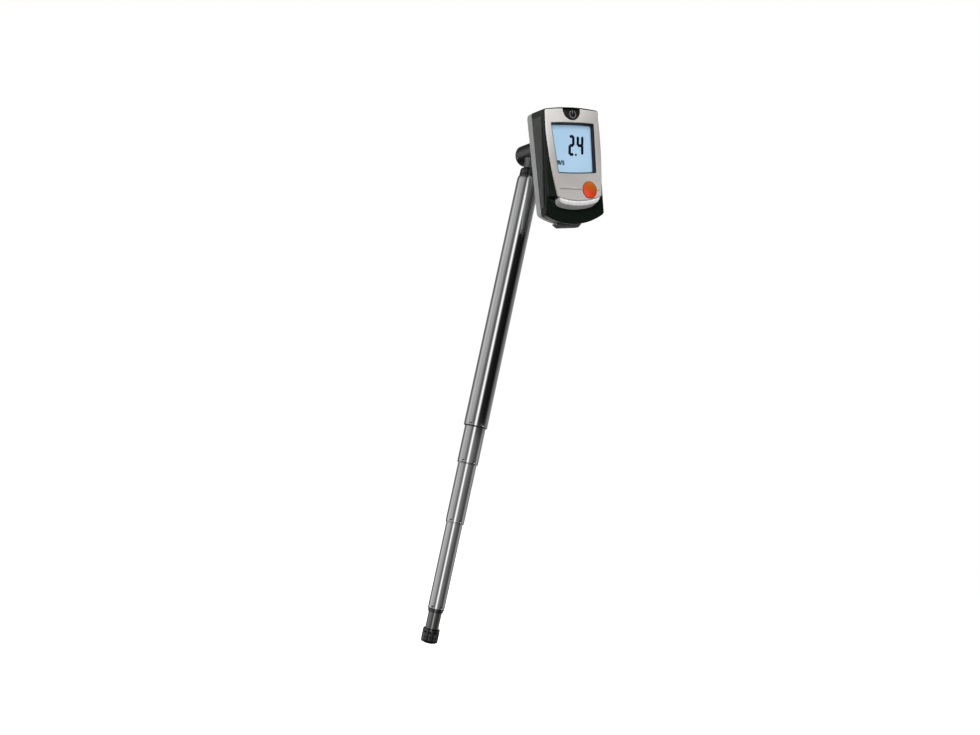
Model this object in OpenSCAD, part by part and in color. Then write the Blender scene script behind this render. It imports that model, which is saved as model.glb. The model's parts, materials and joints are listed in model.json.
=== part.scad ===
// Air-velocity meter: a display head that turns on a barrel at the top of a telescopic probe.
// Millimetres. The probe hangs down along Z, the head's display faces -Y,
// and the origin is on the tube's axis at the top end of the handle tube.

/* [Telescope] */
// Outer diameter of the handle tube
tube_d = 16; // [15.8:0.1:16.4]
// Length of the handle tube
handle_len = 174.7; // [150:0.1:200]
// Outer diameters of tubes two, three and four
stage_d = [14, 12.4, 11]; // [10.8:0.1:14.2]
// Lengths of tubes two, three and four that show at rest
stage_out = [24.8, 39.5, 58.1]; // [10:0.1:80]
// Length of each inner tube
stage_len = 96; // [90:1:100]
// Wall thickness of the tubes
tube_wall = 0.5; // [0.4:0.05:0.55]

/* [Sensor] */
// Diameter of the sensor stem
stem_d = 8.7; // [8.5:0.1:8.9]
// Length of bare stem between tube four and the sleeve
stem_out = 10.3; // [8:0.1:14]
// Outer diameter of the sensor sleeve
sleeve_d = 11; // [10.6:0.1:12]
// Height of the sensor sleeve
sleeve_h = 8.8; // [8.6:0.1:11]
// Number of grooves around the sleeve
sleeve_grooves = 10; // [6:1:12]

/* [Barrel] */
// Diameter of the hinge barrel
barrel_d = 14.6; // [13.6:0.1:14.8]
// Height of the barrel's axis above the handle tube
barrel_z = 19; // [18:0.5:22]
// Distance from the tube's axis to the barrel's rear end
barrel_back = 14; // [12:0.5:16]
// Distance from the tube's axis to the back of the head
head_gap = 25.4; // [24:0.2:30]

/* [Head] */
// Turn of the head on the barrel, seen from the front
head_tilt = -20; // [-135:5:135]
// Thickness of the back shell, up to the parting line
part_w = 8.2; // [7.8:0.1:8.6]
// Thickness of the head at the ridge, level with the barrel
ridge_w = 19.2; // [19:0.1:20]
// Slope of the ridge, which makes the head thicker at the top
ridge_lean = 3.94; // [3.5:0.1:4.2]
// Distance of the fascia from the back, level with the barrel
face_w = 21.1; // [21:0.1:21.6]
// Lean of the fascia away from the viewer at the top
face_lean = 1.87; // [1.5:0.1:2.2]
// Wall thickness of the shells
shell_wall = 1.6; // [1.4:0.1:1.8]

/* [Buttons] */
// Radius of the mode button
mode_r = 5.5; // [5:0.1:5.8]
// Centre of the mode button on the fascia
mode_at = [8.2, -33.4]; // [-34:0.1:9]
// Radius of the half-round power button
power_r = 6.65; // [6:0.1:6.8]
// Travel of both buttons
press = 0.8; // [0.4:0.1:0.8]

/* [Hidden] */
$fn = 64;
eps = 0.01;

// Places along the probe
slide_gap = 0.1;
swage_h = 1.2;
end_two = -handle_len - stage_out[0];
end_three = end_two - stage_out[1];
end_four = end_three - stage_out[2];
sleeve_top = end_four - stem_out;
sleeve_end = sleeve_top - sleeve_h;
stem_end = sleeve_end - 0.6;
stem_top = end_four + 11;
window_h = 6.9;
window_w = 5;
window_z = stem_end + 2;
bead_x = [-1.2, 1.2];
wire_r = 0.4;
lead_r = 0.8;
grip_z = end_four + stage_len - 7;
ring_h = 5;

// Barrel parts
bore_r = 5.2;
spindle_r = 3.9;
spindle_gap = 0.05;
spindle_end = -7.6;
bush_end = -9.5;
clip_at = [-9.2, -8.4];
clip_r = 3.4;
barrel_front = -head_gap + 0.6;
washer_h = 0.5;
neck_base = 1.5;
throat_r = 2.4;
cap_h = 1.2;
collar_h = 5.8;
collar_r = 7.1;
stop_r = 6.05;
stop_pin_r = 0.55;
stop_angle = 141;

// Cable
cable_r = 1;
cable_bend = 4;
coil_r = 4.6;
coil_top = -16;
coil_h = 60;
coil_turns = 8;
coil_steps = 80;

// Head parts
floor_w = 1.8;
seam_w = 0.2;
rim_w = part_w - 0.3;
tongue = 0.8;
far = 70;
face_h = 1.2;
plate_h = 1.6;
pane_h = 0.8;
pane_lap = 0.8;
frame_lap = 1.2;
glass_z = -3.9;
glass_h = 2;
glass_half = 17.4;
board_w = 12.6;
board_h = 0.8;
board_top = board_w + board_h;
socket_h = 3;
power_at = [0, 18.6];
power_flat = 18.2;
power_press_at = 14.6;
button_gap = 0.2;
button_flange = 0.7;
button_under = -3.5;
button_stem = [1.5, 0.6];
door_half = 15.8;
door_top = -8.8;
door_w = 1.1;
door_gap = 0.2;
lip_half = 9.8;
lip_top = -52.4;
lip_end = -55.7;
cell_r = 5.25;
cell_x = 10.4;
cell_w = 7.1;
cell_len = 44.5;
cell_end = -46;
screws = [[-18.2, 14], [18.2, 14], [0, -38]];
screw_r = 1;
screw_head_r = 1.9;
boss_r = 2.2;

// Points of an arc about (x, y), from angle a to angle b
function arc(x, y, r, a, b, n) =
    [for (i = [0:n]) let (t = a + (b - a) * i / n) [x + r * cos(t), y + r * sin(t)]];

// One side of an outline, from y0 to y1, pulled in by waist at its middle
function side(x0, y0, x1, y1, waist, n = 8) =
    [for (i = [1:n - 1]) let (t = i / n)
        [x0 + (x1 - x0) * t - 4 * waist * t * (1 - t), y0 + (y1 - y0) * t]];

// Closed outline with an arched top and bottom, rounded corners and waisted sides.
// top and bottom are [half width, height of the arc's crown, radius of the arc, radius of the corner].
function outline(top, bottom, waist = 0) =
    let (
        tx = top[0] - top[3],
        tc = top[1] - top[2],
        ty = tc + sqrt(pow(top[2] - top[3], 2) - tx * tx),
        ta = atan2(ty - tc, tx),
        bx = bottom[0] - bottom[3],
        bc = bottom[1] + bottom[2],
        by = bc - sqrt(pow(bottom[2] - bottom[3], 2) - bx * bx),
        ba = atan2(bc - by, bx)
    )
    concat(
        arc(bx, by, bottom[3], -ba, 0, 5),
        side(bottom[0], by, top[0], ty, waist),
        arc(tx, ty, top[3], 0, ta, 5),
        arc(0, tc, top[2], ta + 1, 179 - ta, 8),
        arc(-tx, ty, top[3], 180 - ta, 180, 5),
        side(-top[0], ty, -bottom[0], by, -waist),
        arc(-bx, by, bottom[3], 180, 180 + ba, 5),
        arc(0, bc, bottom[2], 181 + ba, 359 - ba, 12)
    );

// The head's outlines: back face, parting line, ridge and fascia, each drawn in by d
function back_line(d = 0) =
    outline([22 - d, 20 - d, 147, 2.4], [20.8 - d, -53.2 + d, 38 - d, 3], 0.9);
function part_line(d = 0) =
    outline([23 - d, 20 - d, 147, 2], [22 - d, -54 + d, 42 - d, 2.6], 0.9);
function ridge_line(d = 0) =
    outline([21.6 - d, 20 - d, 147, 1.6], [23.5 - d, -54.5 + d, 47.3 - d, 2.2], 0.3);
function face_line(d = 0) =
    outline([21 - d, 19.6 - d, 147, 1], [17.5 - d, -40.2 + d, 53.6, 0.9], -1.3);
function foot_line(d = 0) =
    outline([20.9 - d, 19.8 - d, 147, 1.2], [22.2 - d, -40.3 + d, 80, 2], 0.2);
function window_line(d = 0) =
    outline([17.1 - d, 10.3 - d, 300, 1], [15.3 - d, -22.7 + d, 300, 1]);

// Places: the head's back face with z towards the viewer, its ridge and its fascia
module on_back() {
    translate([0, -head_gap, barrel_z]) rotate([0, head_tilt, 0]) rotate([90, 0, 0]) children();
}

module lean_ridge() {
    translate([0, 0, ridge_w]) rotate([ridge_lean, 0, 0]) children();
}

module lean_face() {
    translate([0, 0, face_w]) rotate([-face_lean, 0, 0]) children();
}

module slab(points, z) {
    translate([0, 0, z]) linear_extrude(eps) polygon(points);
}

// A ring about the probe's axis between two heights
module ring(outer, inner, low, high) {
    translate([0, 0, low]) difference() {
        cylinder(r = outer, h = high - low);
        translate([0, 0, -1]) cylinder(r = inner, h = high - low + 2);
    }
}

// A ring about the barrel's axis between two places along Y
module cross_ring(outer, inner, y0, y1) {
    translate([0, y1, barrel_z]) rotate([90, 0, 0]) difference() {
        cylinder(r = outer, h = y1 - y0);
        translate([0, 0, -1]) cylinder(r = inner, h = y1 - y0 + 2);
    }
}

// A polished tube whose lower end is rolled in to guide the next one
module swaged_tube(outer, top, low, mouth, roll) {
    rotate_extrude() polygon([
        [outer - tube_wall, top], [outer, top], [outer, low + roll], [mouth + tube_wall, low],
        [mouth, low], [mouth, low + 0.5], [outer - tube_wall, low + roll + 0.5]
    ]);
}

// A plastic ring on the top of an inner tube, which guides it and stops it pulling out
module guide_ring(inner_d, outer_d, top) {
    tube_r = inner_d / 2;
    reach = outer_d / 2 - tube_wall - 0.08;
    rotate_extrude() polygon([
        [tube_r, top - ring_h], [reach, top - ring_h + 0.4], [reach, top + 0.4],
        [reach - 0.4, top + 0.8], [tube_r - tube_wall, top + 0.8], [tube_r - tube_wall, top],
        [tube_r, top]
    ]);
}

module handle_tube() {
    color([0.75, 0.75, 0.76])
    swaged_tube(tube_d / 2, 0, -handle_len, stage_d[0] / 2 + slide_gap, swage_h);
}

module tube_collar() {
    plug = tube_d / 2 - tube_wall;
    soft = 1.6;
    color([0.06, 0.06, 0.06])
    rotate_extrude() polygon(concat(
        [[throat_r, -10], [plug, -10], [plug, 0], [collar_r, 0]],
        arc(collar_r - soft, collar_h - soft, soft, 0, 90, 6),
        [[bore_r, collar_h], [bore_r, neck_base], [throat_r, neck_base]]
    ));
}

module hinge_barrel() {
    color([0.07, 0.07, 0.07])
    difference() {
        union() {
            translate([0, barrel_back - cap_h, barrel_z]) rotate([90, 0, 0])
                cylinder(d = barrel_d, h = barrel_back - cap_h - barrel_front);
            translate([0, 0, neck_base]) cylinder(r = bore_r, h = barrel_z - neck_base);
        }
        translate([0, barrel_back, barrel_z]) rotate([90, 0, 0]) cylinder(r = bore_r, h = far);
        translate([0, 0, neck_base - 1]) cylinder(r = throat_r, h = barrel_z - neck_base + 1);
        stop_rod(4);
    }
}

module barrel_cap() {
    plug_h = 2.8;
    soft = 0.9;
    high = plug_h + cap_h;
    color([0.07, 0.07, 0.07])
    translate([0, barrel_back - high, barrel_z]) rotate([-90, 0, 0]) rotate_extrude() polygon(concat(
        [[0, 0], [bore_r, 0], [bore_r, plug_h], [barrel_d / 2, plug_h]],
        arc(barrel_d / 2 - soft, high - soft, soft, 0, 90, 5),
        [[0, high]]
    ));
}

// The rod below the spindle that stops the head's turn
module stop_rod(long) {
    translate([0, barrel_front + 3, barrel_z - stop_r]) rotate([90, 0, 0])
        cylinder(r = stop_pin_r, h = long, $fn = 32);
}

module spindle_bush() {
    color([0.75, 0.65, 0.35]) cross_ring(bore_r, spindle_r + spindle_gap, barrel_front, bush_end);
}

module friction_washer() {
    color([0.3, 0.3, 0.32])
    cross_ring(bore_r, spindle_r + spindle_gap, barrel_front - washer_h, barrel_front);
}

module stop_pin() {
    color([0.7, 0.7, 0.7]) stop_rod(4.4);
}

// One ring of points of the cable's spare turns, at the fraction t from top to bottom
function coil_ring(t) =
    let (
        a = 360 * coil_turns * t,
        climb = atan(coil_h / (coil_turns * 2 * PI * coil_r))
    )
    [for (i = [0:7]) let (p = coil_r + cable_r * cos(45 * i), q = cable_r * sin(45 * i))
        [
            p * cos(a) - q * sin(a) * sin(climb),
            p * sin(a) + q * cos(a) * sin(climb),
            coil_top - coil_h * t + q * cos(climb)
        ]];

module cable_coil() {
    rings = [for (k = [0:coil_steps]) coil_ring(k / coil_steps)];
    points = [for (ring_points = rings) each ring_points];
    walls = [for (k = [0:coil_steps - 1]) for (i = [0:7]) let (a = 8 * k + i, b = 8 * k + (i + 1) % 8)
        each [[a, b, b + 8], [a, b + 8, a + 8]]];
    first = [for (i = [7:-1:0]) i];
    last = [for (i = [0:7]) 8 * coil_steps + i];
    polyhedron(points, concat([first], walls, [last]), convexity = 10);
}

// A turn of the cable from the probe's axis out to the coil
module coil_elbow(z) {
    translate([0, 0, z]) {
        sphere(r = cable_r, $fn = 24);
        rotate([0, 90, 0]) cylinder(r = cable_r, h = coil_r, $fn = 24);
        translate([coil_r, 0, 0]) sphere(r = cable_r + 0.02, $fn = 24);
    }
}

module probe_cable() {
    cable_start = -head_gap - 9.6;
    color([0.15, 0.15, 0.15])
    union() {
        translate([0, -cable_bend, barrel_z]) rotate([90, 0, 0])
            cylinder(r = cable_r, h = -cable_bend - cable_start);
        translate([0, -cable_bend, barrel_z - cable_bend]) rotate([0, -90, 0])
            rotate_extrude(angle = 90) translate([cable_bend, 0]) circle(r = cable_r, $fn = 32);
        translate([0, 0, coil_top]) cylinder(r = cable_r, h = barrel_z - cable_bend - coil_top);
        coil_elbow(coil_top);
        cable_coil();
        coil_elbow(coil_top - coil_h);
        translate([0, 0, grip_z]) cylinder(r = cable_r, h = coil_top - coil_h - grip_z);
    }
}

module tube_two() {
    color([0.72, 0.72, 0.73])
    swaged_tube(stage_d[0] / 2, end_two + stage_len, end_two, stage_d[1] / 2 + slide_gap, swage_h);
}

module guide_ring_two() {
    color([0.85, 0.85, 0.82]) guide_ring(stage_d[0], tube_d, end_two + stage_len);
}

module tube_three() {
    color([0.72, 0.72, 0.73])
    swaged_tube(stage_d[1] / 2, end_three + stage_len, end_three, stage_d[2] / 2 + slide_gap, swage_h);
}

module guide_ring_three() {
    color([0.85, 0.85, 0.82]) guide_ring(stage_d[1], stage_d[0], end_three + stage_len);
}

module tube_four() {
    color([0.72, 0.72, 0.73])
    swaged_tube(stage_d[2] / 2, end_four + stage_len, end_four, stem_d / 2, 3);
}

module guide_ring_four() {
    color([0.85, 0.85, 0.82]) guide_ring(stage_d[2], stage_d[1], end_four + stage_len);
}

module stem_bush() {
    color([0.2, 0.2, 0.2]) ring(stage_d[2] / 2 - tube_wall, stem_d / 2, end_four + 3.6, end_four + 10);
}

module cable_grip() {
    color([0.2, 0.2, 0.2]) ring(stage_d[2] / 2 - tube_wall, lead_r, grip_z - 4, grip_z);
}

module sensor_lead() {
    low = window_z + window_h + 2;
    color([0.15, 0.15, 0.15]) translate([0, 0, low]) cylinder(r = lead_r, h = grip_z - low, $fn = 32);
}

module sensor_stem() {
    r = stem_d / 2;
    soft = 1.4;
    bulkhead = window_z + window_h + 1.5;
    color([0.72, 0.72, 0.73])
    difference() {
        rotate_extrude() polygon(concat(
            [[0, stem_end]],
            arc(r - soft, stem_end + soft, soft, -90, 0, 6),
            [[r, stem_top], [3.2, stem_top], [3.2, bulkhead], [0, bulkhead]]
        ));
        translate([-window_w / 2, -r - 1, window_z]) cube([window_w, 2 * r + 2, window_h]);
        for (x = bead_x) translate([x, 0, window_z]) cylinder(r = wire_r, h = window_h + 3, $fn = 24);
    }
}

module sensor_beads() {
    bead_drop = [1.4, 1];
    bead_r = [0.7, 0.5];
    color([0.8, 0.78, 0.7])
    for (i = [0, 1]) translate([bead_x[i], 0, window_z + window_h - bead_drop[i]]) {
        cylinder(r = wire_r, h = bead_drop[i] + 1.9, $fn = 24);
        sphere(r = bead_r[i], $fn = 24);
    }
}

module sensor_sleeve() {
    r = sleeve_d / 2;
    bore = stem_d / 2 + 0.07;
    low_round = 1.8;
    low_angle = 66;
    top_round = 0.7;
    groove = [1, 0.6];
    color([0.05, 0.05, 0.05])
    difference() {
        rotate_extrude() polygon(concat(
            [[bore, sleeve_end]],
            arc(r - low_round, sleeve_end + low_round * sin(low_angle), low_round, -low_angle, 0, 4),
            arc(r - top_round, sleeve_top - top_round, top_round, 0, 90, 3),
            [[bore, sleeve_top]]
        ));
        for (i = [0:sleeve_grooves - 1]) rotate([0, 0, 360 * (i + 0.5) / sleeve_grooves])
            translate([r + groove[0] - groove[1], 0, sleeve_end - 1])
                cylinder(r = groove[0], h = sleeve_h - 1.8, $fn = 32);
    }
}

// The back shell as one solid block, with a rounded back edge, up to the height high
module back_block(high) {
    hull() {
        slab(back_line(1.8), 0);
        slab(back_line(0.6), 0.5);
        slab(back_line(0), 1.7);
        slab(part_line(0), high - eps);
    }
}

// The space of the battery door and of its lip, grown by a gap
module door_region(gap) {
    translate([-door_half - gap, -far, -1])
        cube([2 * (door_half + gap), far + door_top + gap, 1 + door_w + gap / 2]);
    translate([-lip_half - gap, -far, -1])
        cube([2 * (lip_half + gap), far + lip_top + gap, 1 + part_w + gap]);
}

module back_shell() {
    opening = [15, -50.5, 39.5];
    stop_groove = [1.4, 1];
    top_screws = [screws[0], screws[1]];
    color([0.66, 0.67, 0.67])
    on_back() difference() {
        union() {
            difference() {
                back_block(rim_w);
                hull() {
                    slab(back_line(shell_wall + 0.6), floor_w);
                    slab(part_line(shell_wall), rim_w + 1);
                }
            }
            for (p = top_screws) translate([p[0], p[1], 1]) cylinder(r = boss_r, h = rim_w - 1);
        }
        translate([0, 0, rim_w - 0.7]) linear_extrude(3) polygon(part_line(tongue));
        door_region(door_gap);
        translate([-opening[0], opening[1], -1]) cube([2 * opening[0], opening[2], floor_w + 1.5]);
        translate([0, 0, -1]) cylinder(r = spindle_r + 0.03, h = 6);
        rotate([0, 0, -90 - stop_angle]) rotate_extrude(angle = 2 * stop_angle)
            translate([stop_r - stop_groove[0] / 2, -1]) square([stop_groove[0], 1 + stop_groove[1]]);
        for (p = top_screws) translate([p[0], p[1], -1]) {
            cylinder(r = screw_r, h = 20);
            cylinder(r = screw_head_r + 0.1, h = 2.3);
        }
    }
}

// The front shell's sides, from the parting line to the ridge, drawn in by d
module front_sides(d, low) {
    hull() {
        slab(part_line(d), low);
        lean_ridge() slab(ridge_line(d), -d - eps);
    }
}

// The raised middle that carries the fascia, drawn in by d
module raised_middle(d) {
    hull() {
        lean_ridge() slab(foot_line(d), -d - 1);
        lean_face() slab(face_line(d), -face_h - d - eps);
    }
}

// The hollows in the two sides that the grip strips fill
module grip_bands() {
    band = [-43, 57];
    band_w = [part_w + 1.4, 8.4];
    ledge = 2.6;
    intersection() {
        difference() {
            front_sides(-0.2, part_w + seam_w);
            front_sides(0.8, part_w - 1);
        }
        for (x = [-35, 15]) translate([x, band[0], band_w[0]]) cube([20, band[1], band_w[1]]);
        lean_ridge() translate([-far / 2, -far, -30 - ledge]) cube([far, 2 * far, 30]);
    }
}

module front_shell() {
    lip_room = lip_half + door_gap;
    deep = 8;
    color([0.10, 0.105, 0.10])
    on_back() difference() {
        union() {
            difference() {
                union() {
                    front_sides(0, part_w + seam_w);
                    raised_middle(0);
                    translate([0, 0, part_w - 1]) linear_extrude(1.3) polygon(part_line(tongue));
                }
                front_sides(shell_wall, part_w - 2);
                raised_middle(shell_wall);
                translate([-lip_room, -far, 0]) cube([2 * lip_room, far + lip_top + 0.4, part_w + seam_w]);
            }
            for (p = screws) translate([p[0], p[1], board_top]) cylinder(r = boss_r - 0.1, h = 4);
        }
        lean_face() translate([0, 0, -deep]) {
            linear_extrude(2 * deep) polygon(window_line());
            translate(mode_at) cylinder(r = mode_r + button_gap, h = 2 * deep);
            intersection() {
                translate(power_at) cylinder(r = power_r + button_gap, h = 2 * deep);
                translate([-10, 0, 0]) cube([20, power_flat + button_gap, 2 * deep]);
            }
        }
        for (p = screws) translate([p[0], p[1], 5]) cylinder(r = screw_r, h = board_top - 2);
        grip_bands();
    }
}

module side_grip_left() {
    color([0.22, 0.22, 0.22]) on_back() intersection() {
        grip_bands();
        translate([-far, -far, 0]) cube([far, 2 * far, 30]);
    }
}

module side_grip_right() {
    color([0.22, 0.22, 0.22]) on_back() intersection() {
        grip_bands();
        translate([0, -far, 0]) cube([far, 2 * far, 30]);
    }
}

module fascia_plate() {
    line = [-15.6, -32.7, 18, 0.35];
    line_h = 0.25;
    color([0.66, 0.63, 0.61])
    on_back() lean_face() translate([0, 0, -face_h]) difference() {
        linear_extrude(face_h) polygon(face_line());
        translate([0, 0, -1]) linear_extrude(4) polygon(window_line());
        translate([mode_at[0], mode_at[1], -1]) cylinder(r = mode_r + button_gap, h = 4);
        translate([power_at[0], power_at[1], -1]) cylinder(r = power_r + button_gap, h = 4);
        translate([line[0], line[1], face_h - line_h]) cube([line[2], line[3], 1]);
    }
}

// A crescent between the fascia's lower arc and an arc below it
module crescent(low, z) {
    top = [-40.25, 53.6, 18];
    bottom = [top[0] - low, 56, 17.6];
    slab(concat(
        arc(0, top[0] + top[1], top[1], -90 - top[2], -90 + top[2], 14),
        arc(0, bottom[0] + bottom[1], bottom[1], -90 + bottom[2], -90 - bottom[2], 14)
    ), z);
}

// A bar of three stacked crescents, hollowed to fit the raised middle and the fascia
module crescent_trim() {
    fit = 0.04;
    color([0.88, 0.88, 0.88])
    on_back() difference() {
        lean_face() hull() {
            crescent(1.4, -0.2);
            crescent(3.1, -1.5);
            crescent(4.6, -5.8);
        }
        raised_middle(-fit);
        lean_face() translate([0, 0, -8]) linear_extrude(12) polygon(face_line(-fit));
    }
}

module window_pane() {
    color([0.9, 0.95, 1, 0.4])
    on_back() lean_face() translate([0, 0, -face_h - plate_h - pane_h])
        linear_extrude(pane_h) polygon(window_line(-pane_lap));
}

// A dark sloping frame between the fascia's opening and the pane
module window_frame() {
    low = -face_h - plate_h;
    high = -0.3;
    color([0.08, 0.085, 0.09])
    on_back() lean_face() difference() {
        translate([0, 0, low]) linear_extrude(high - low) polygon(window_line(0.03));
        hull() {
            slab(window_line(frame_lap), low - 1);
            slab(window_line(frame_lap), low);
            slab(window_line(0.4), high);
        }
    }
}

module window_seal() {
    top = -face_h - plate_h - pane_h;
    color([0.1, 0.1, 0.1])
    on_back() lean_face() translate([0, 0, glass_z]) difference() {
        linear_extrude(top - glass_z) polygon(window_line(-pane_lap));
        translate([0, 0, -1]) linear_extrude(4) polygon(window_line(-0.1));
    }
}

module display_glass() {
    low = -23.7;
    color([0.66, 0.77, 0.88])
    on_back() lean_face() translate([-glass_half, low, glass_z - glass_h])
        cube([2 * glass_half, 34.6, glass_h]);
}

// One seven-segment digit. lit lists its segments: a top, b and c right, d bottom, e and f left, g middle.
module digit(x, y, lit) {
    wide = 4.4;
    tall = 13;
    bar = 1.25;
    gap = 0.22;
    half = tall / 2;
    slant = 0.15;
    places = [
        ["a", [gap, tall - bar], [wide - 2 * gap, bar]],
        ["b", [wide - bar, half + gap], [bar, half - 2 * gap]],
        ["c", [wide - bar, gap], [bar, half - 2 * gap]],
        ["d", [gap, 0], [wide - 2 * gap, bar]],
        ["e", [0, gap], [bar, half - 2 * gap]],
        ["f", [0, half + gap], [bar, half - 2 * gap]],
        ["g", [gap, half - bar / 2], [wide - 2 * gap, bar]]
    ];
    for (s = places) if (len(search(s[0], lit)) > 0)
        translate([x + s[1][0] + slant * s[1][1], y + s[1][1]]) square(s[2]);
}

module display_segments() {
    ink = 0.12;
    digit_low = -10.4;
    dot = 1.1;
    unit_at = [-14.2, -16];
    unit_h = 2.4;
    stroke = 0.42;
    color([0.05, 0.07, 0.16])
    on_back() lean_face() translate([0, 0, glass_z]) linear_extrude(ink) {
        digit(-3.3, digit_low, "abged");
        digit(3.8, digit_low, "fgbc");
        translate([2.2, digit_low]) square([dot, dot]);
        translate(unit_at) {
            translate([0, unit_h - stroke]) square([2.7, stroke]);
            for (x = [0, 1.15, 2.3]) translate([x, 0]) square([stroke, unit_h]);
            translate([3.5, 0]) square([stroke, unit_h + 0.4]);
            for (y = [0, 1, 2]) translate([4.6, y * (unit_h - stroke) / 2]) square([1.6, stroke]);
            translate([4.6, unit_h / 2]) square([stroke, unit_h / 2]);
            translate([6.2 - stroke, 0]) square([stroke, unit_h / 2]);
        }
    }
}

module connector_strips() {
    color([0.55, 0.15, 0.2])
    on_back() {
        translate([-14, 8.2, board_top]) cube([28, 1.6, 1.4]);
        translate([-14, -22.6, board_top]) cube([28, 1.6, 2.2]);
    }
}

module circuit_board() {
    color([0.05, 0.35, 0.2])
    on_back() difference() {
        translate([-18, -48.4, board_w]) cube([36, 65.6, board_h]);
        for (p = screws) translate([p[0], p[1], 0]) cylinder(r = 2.8, h = 30);
        for (x = [-1, 1]) translate([x * 18, -48.4, 0]) rotate([0, 0, 45]) cube([6, 6, 60], center = true);
    }
}

module circuit_chips() {
    color([0.08, 0.08, 0.08])
    on_back() {
        translate([-5, -12, board_top]) cube([9, 9, 1]);
        translate([-14, -34, board_top]) cube([5, 4, 1]);
        translate([-15, -41, board_top]) cube([3, 1.6, 0.8]);
        translate([-9, -41, board_top]) cube([3, 1.6, 0.8]);
    }
}

// A push switch: a square body with a round plunger that meets the stem of its button,
// which stands at the height stem_w, as the press ends
module tact_switch(at, wide, body_h, stem_w) {
    translate([at[0] - wide / 2, at[1] - wide / 2, board_top]) cube([wide, wide, body_h]);
    translate([at[0], at[1], board_top]) cylinder(r = 1.5, h = stem_w - press - board_top, $fn = 32);
}

module mode_switch() {
    color([0.3, 0.3, 0.3]) on_back() tact_switch(mode_at, 6, 2.4, 17.8);
}

module power_switch() {
    color([0.3, 0.3, 0.3]) on_back() tact_switch([0, power_press_at], 4.6, 1.2, 16.3);
}

module cable_socket() {
    color([0.9, 0.9, 0.85])
    on_back() translate([-3, -2.5, board_w - socket_h]) cube([6, 5, socket_h]);
}

module battery_tray() {
    deep = board_w - 0.2 - floor_w;
    tray = [16.5, 47.8];
    room = cell_r + 0.15;
    hub_r = 6;
    color([0.12, 0.12, 0.12])
    on_back() difference() {
        intersection() {
            translate([-tray[0], -tray[1], floor_w]) cube([2 * tray[0], tray[1], deep]);
            linear_extrude(30) polygon(back_line(shell_wall + 0.7));
        }
        for (x = [-cell_x, cell_x])
            translate([x - room, cell_end - 1.2, 0]) cube([2 * room, cell_len + 1.7, 30]);
        cylinder(r = hub_r, h = 30);
        translate([0, screws[2][1], 0]) cylinder(r = boss_r + 0.2, h = 30);
        translate([-3.8, -33, floor_w - 1]) cube([7.6, 24, deep]);
    }
}

module battery_cell(x, turned) {
    nub = [1.9, 0.8];
    low = cell_end + (turned ? cell_len : 0);
    on_back() translate([x, low, cell_w]) rotate([turned ? 90 : -90, 0, 0]) {
        cylinder(r = cell_r, h = cell_len - nub[1]);
        cylinder(r = nub[0], h = cell_len, $fn = 32);
    }
}

module battery_cell_left() {
    color([0.2, 0.35, 0.6]) battery_cell(-cell_x, false);
}

module battery_cell_right() {
    color([0.2, 0.35, 0.6]) battery_cell(cell_x, true);
}

module contact_springs() {
    color([0.8, 0.8, 0.78])
    on_back() {
        translate([-cell_x, cell_end, cell_w]) rotate([90, 0, 0])
            cylinder(r1 = 2, r2 = 3.2, h = 1.2, $fn = 32);
        translate([cell_x, cell_end + cell_len, cell_w]) rotate([-90, 0, 0])
            cylinder(r = 2.4, h = 0.5, $fn = 32);
    }
}

module contact_plates() {
    plate = [6, 0.4, 6];
    color([0.8, 0.8, 0.78])
    on_back() {
        translate([-cell_x - plate[0] / 2, cell_end + cell_len, 4]) cube(plate);
        translate([cell_x - plate[0] / 2, cell_end - plate[1], 4]) cube(plate);
    }
}

module case_screws() {
    color([0.35, 0.35, 0.36])
    on_back() for (p = screws) {
        head_w = p[1] < 0 ? 2 : 0.3;
        slot = [2.4, 0.5, 1.5];
        translate([p[0], p[1], head_w]) difference() {
            union() {
                cylinder(r = screw_head_r, h = 1, $fn = 32);
                cylinder(r = screw_r, h = board_top + 2.5 - head_w, $fn = 32);
            }
            for (a = [0, 90]) rotate([0, 0, a]) translate([-slot[0] / 2, -slot[1] / 2, -1]) cube(slot);
        }
    }
}

module hinge_spindle() {
    inside = -head_gap - floor_w;
    hollow_r = 1.5;
    color([0.7, 0.7, 0.72])
    difference() {
        union() {
            cross_ring(spindle_r, hollow_r, inside, spindle_end);
            cross_ring(5, hollow_r, inside - 1.2, inside);
        }
        cross_ring(6, clip_r, clip_at[0], clip_at[1]);
    }
}

module spindle_clip() {
    color([0.4, 0.4, 0.42])
    difference() {
        cross_ring(4.9, clip_r, clip_at[0], clip_at[1]);
        translate([-1.5, -12, barrel_z + 1]) cube([3, 6, 8]);
    }
}

module mode_button() {
    crown = 1.5;
    rim = 0.4;
    flange_h = 0.6;
    flange_low = -3.3;
    dome_r = (mode_r * mode_r + pow(crown - rim, 2)) / (2 * (crown - rim));
    reach = asin((mode_r - 0.2) / dome_r);
    color([0.85, 0.30, 0.08])
    on_back() lean_face() translate(mode_at) {
        rotate_extrude() polygon(concat(
            [[0, button_under], [mode_r, button_under], [mode_r, rim]],
            arc(0, crown - dome_r, dome_r, 90 - reach, 90, 8)
        ));
        translate([0, 0, button_under - button_stem[1]])
            cylinder(r = button_stem[0], h = button_stem[1] + 1, $fn = 32);
        translate([0, 0, button_under]) intersection() {
            cylinder(r = mode_r + button_flange, h = flange_h);
            translate([-10, flange_low, 0]) cube([20, 20, flange_h]);
        }
    }
}

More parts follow.
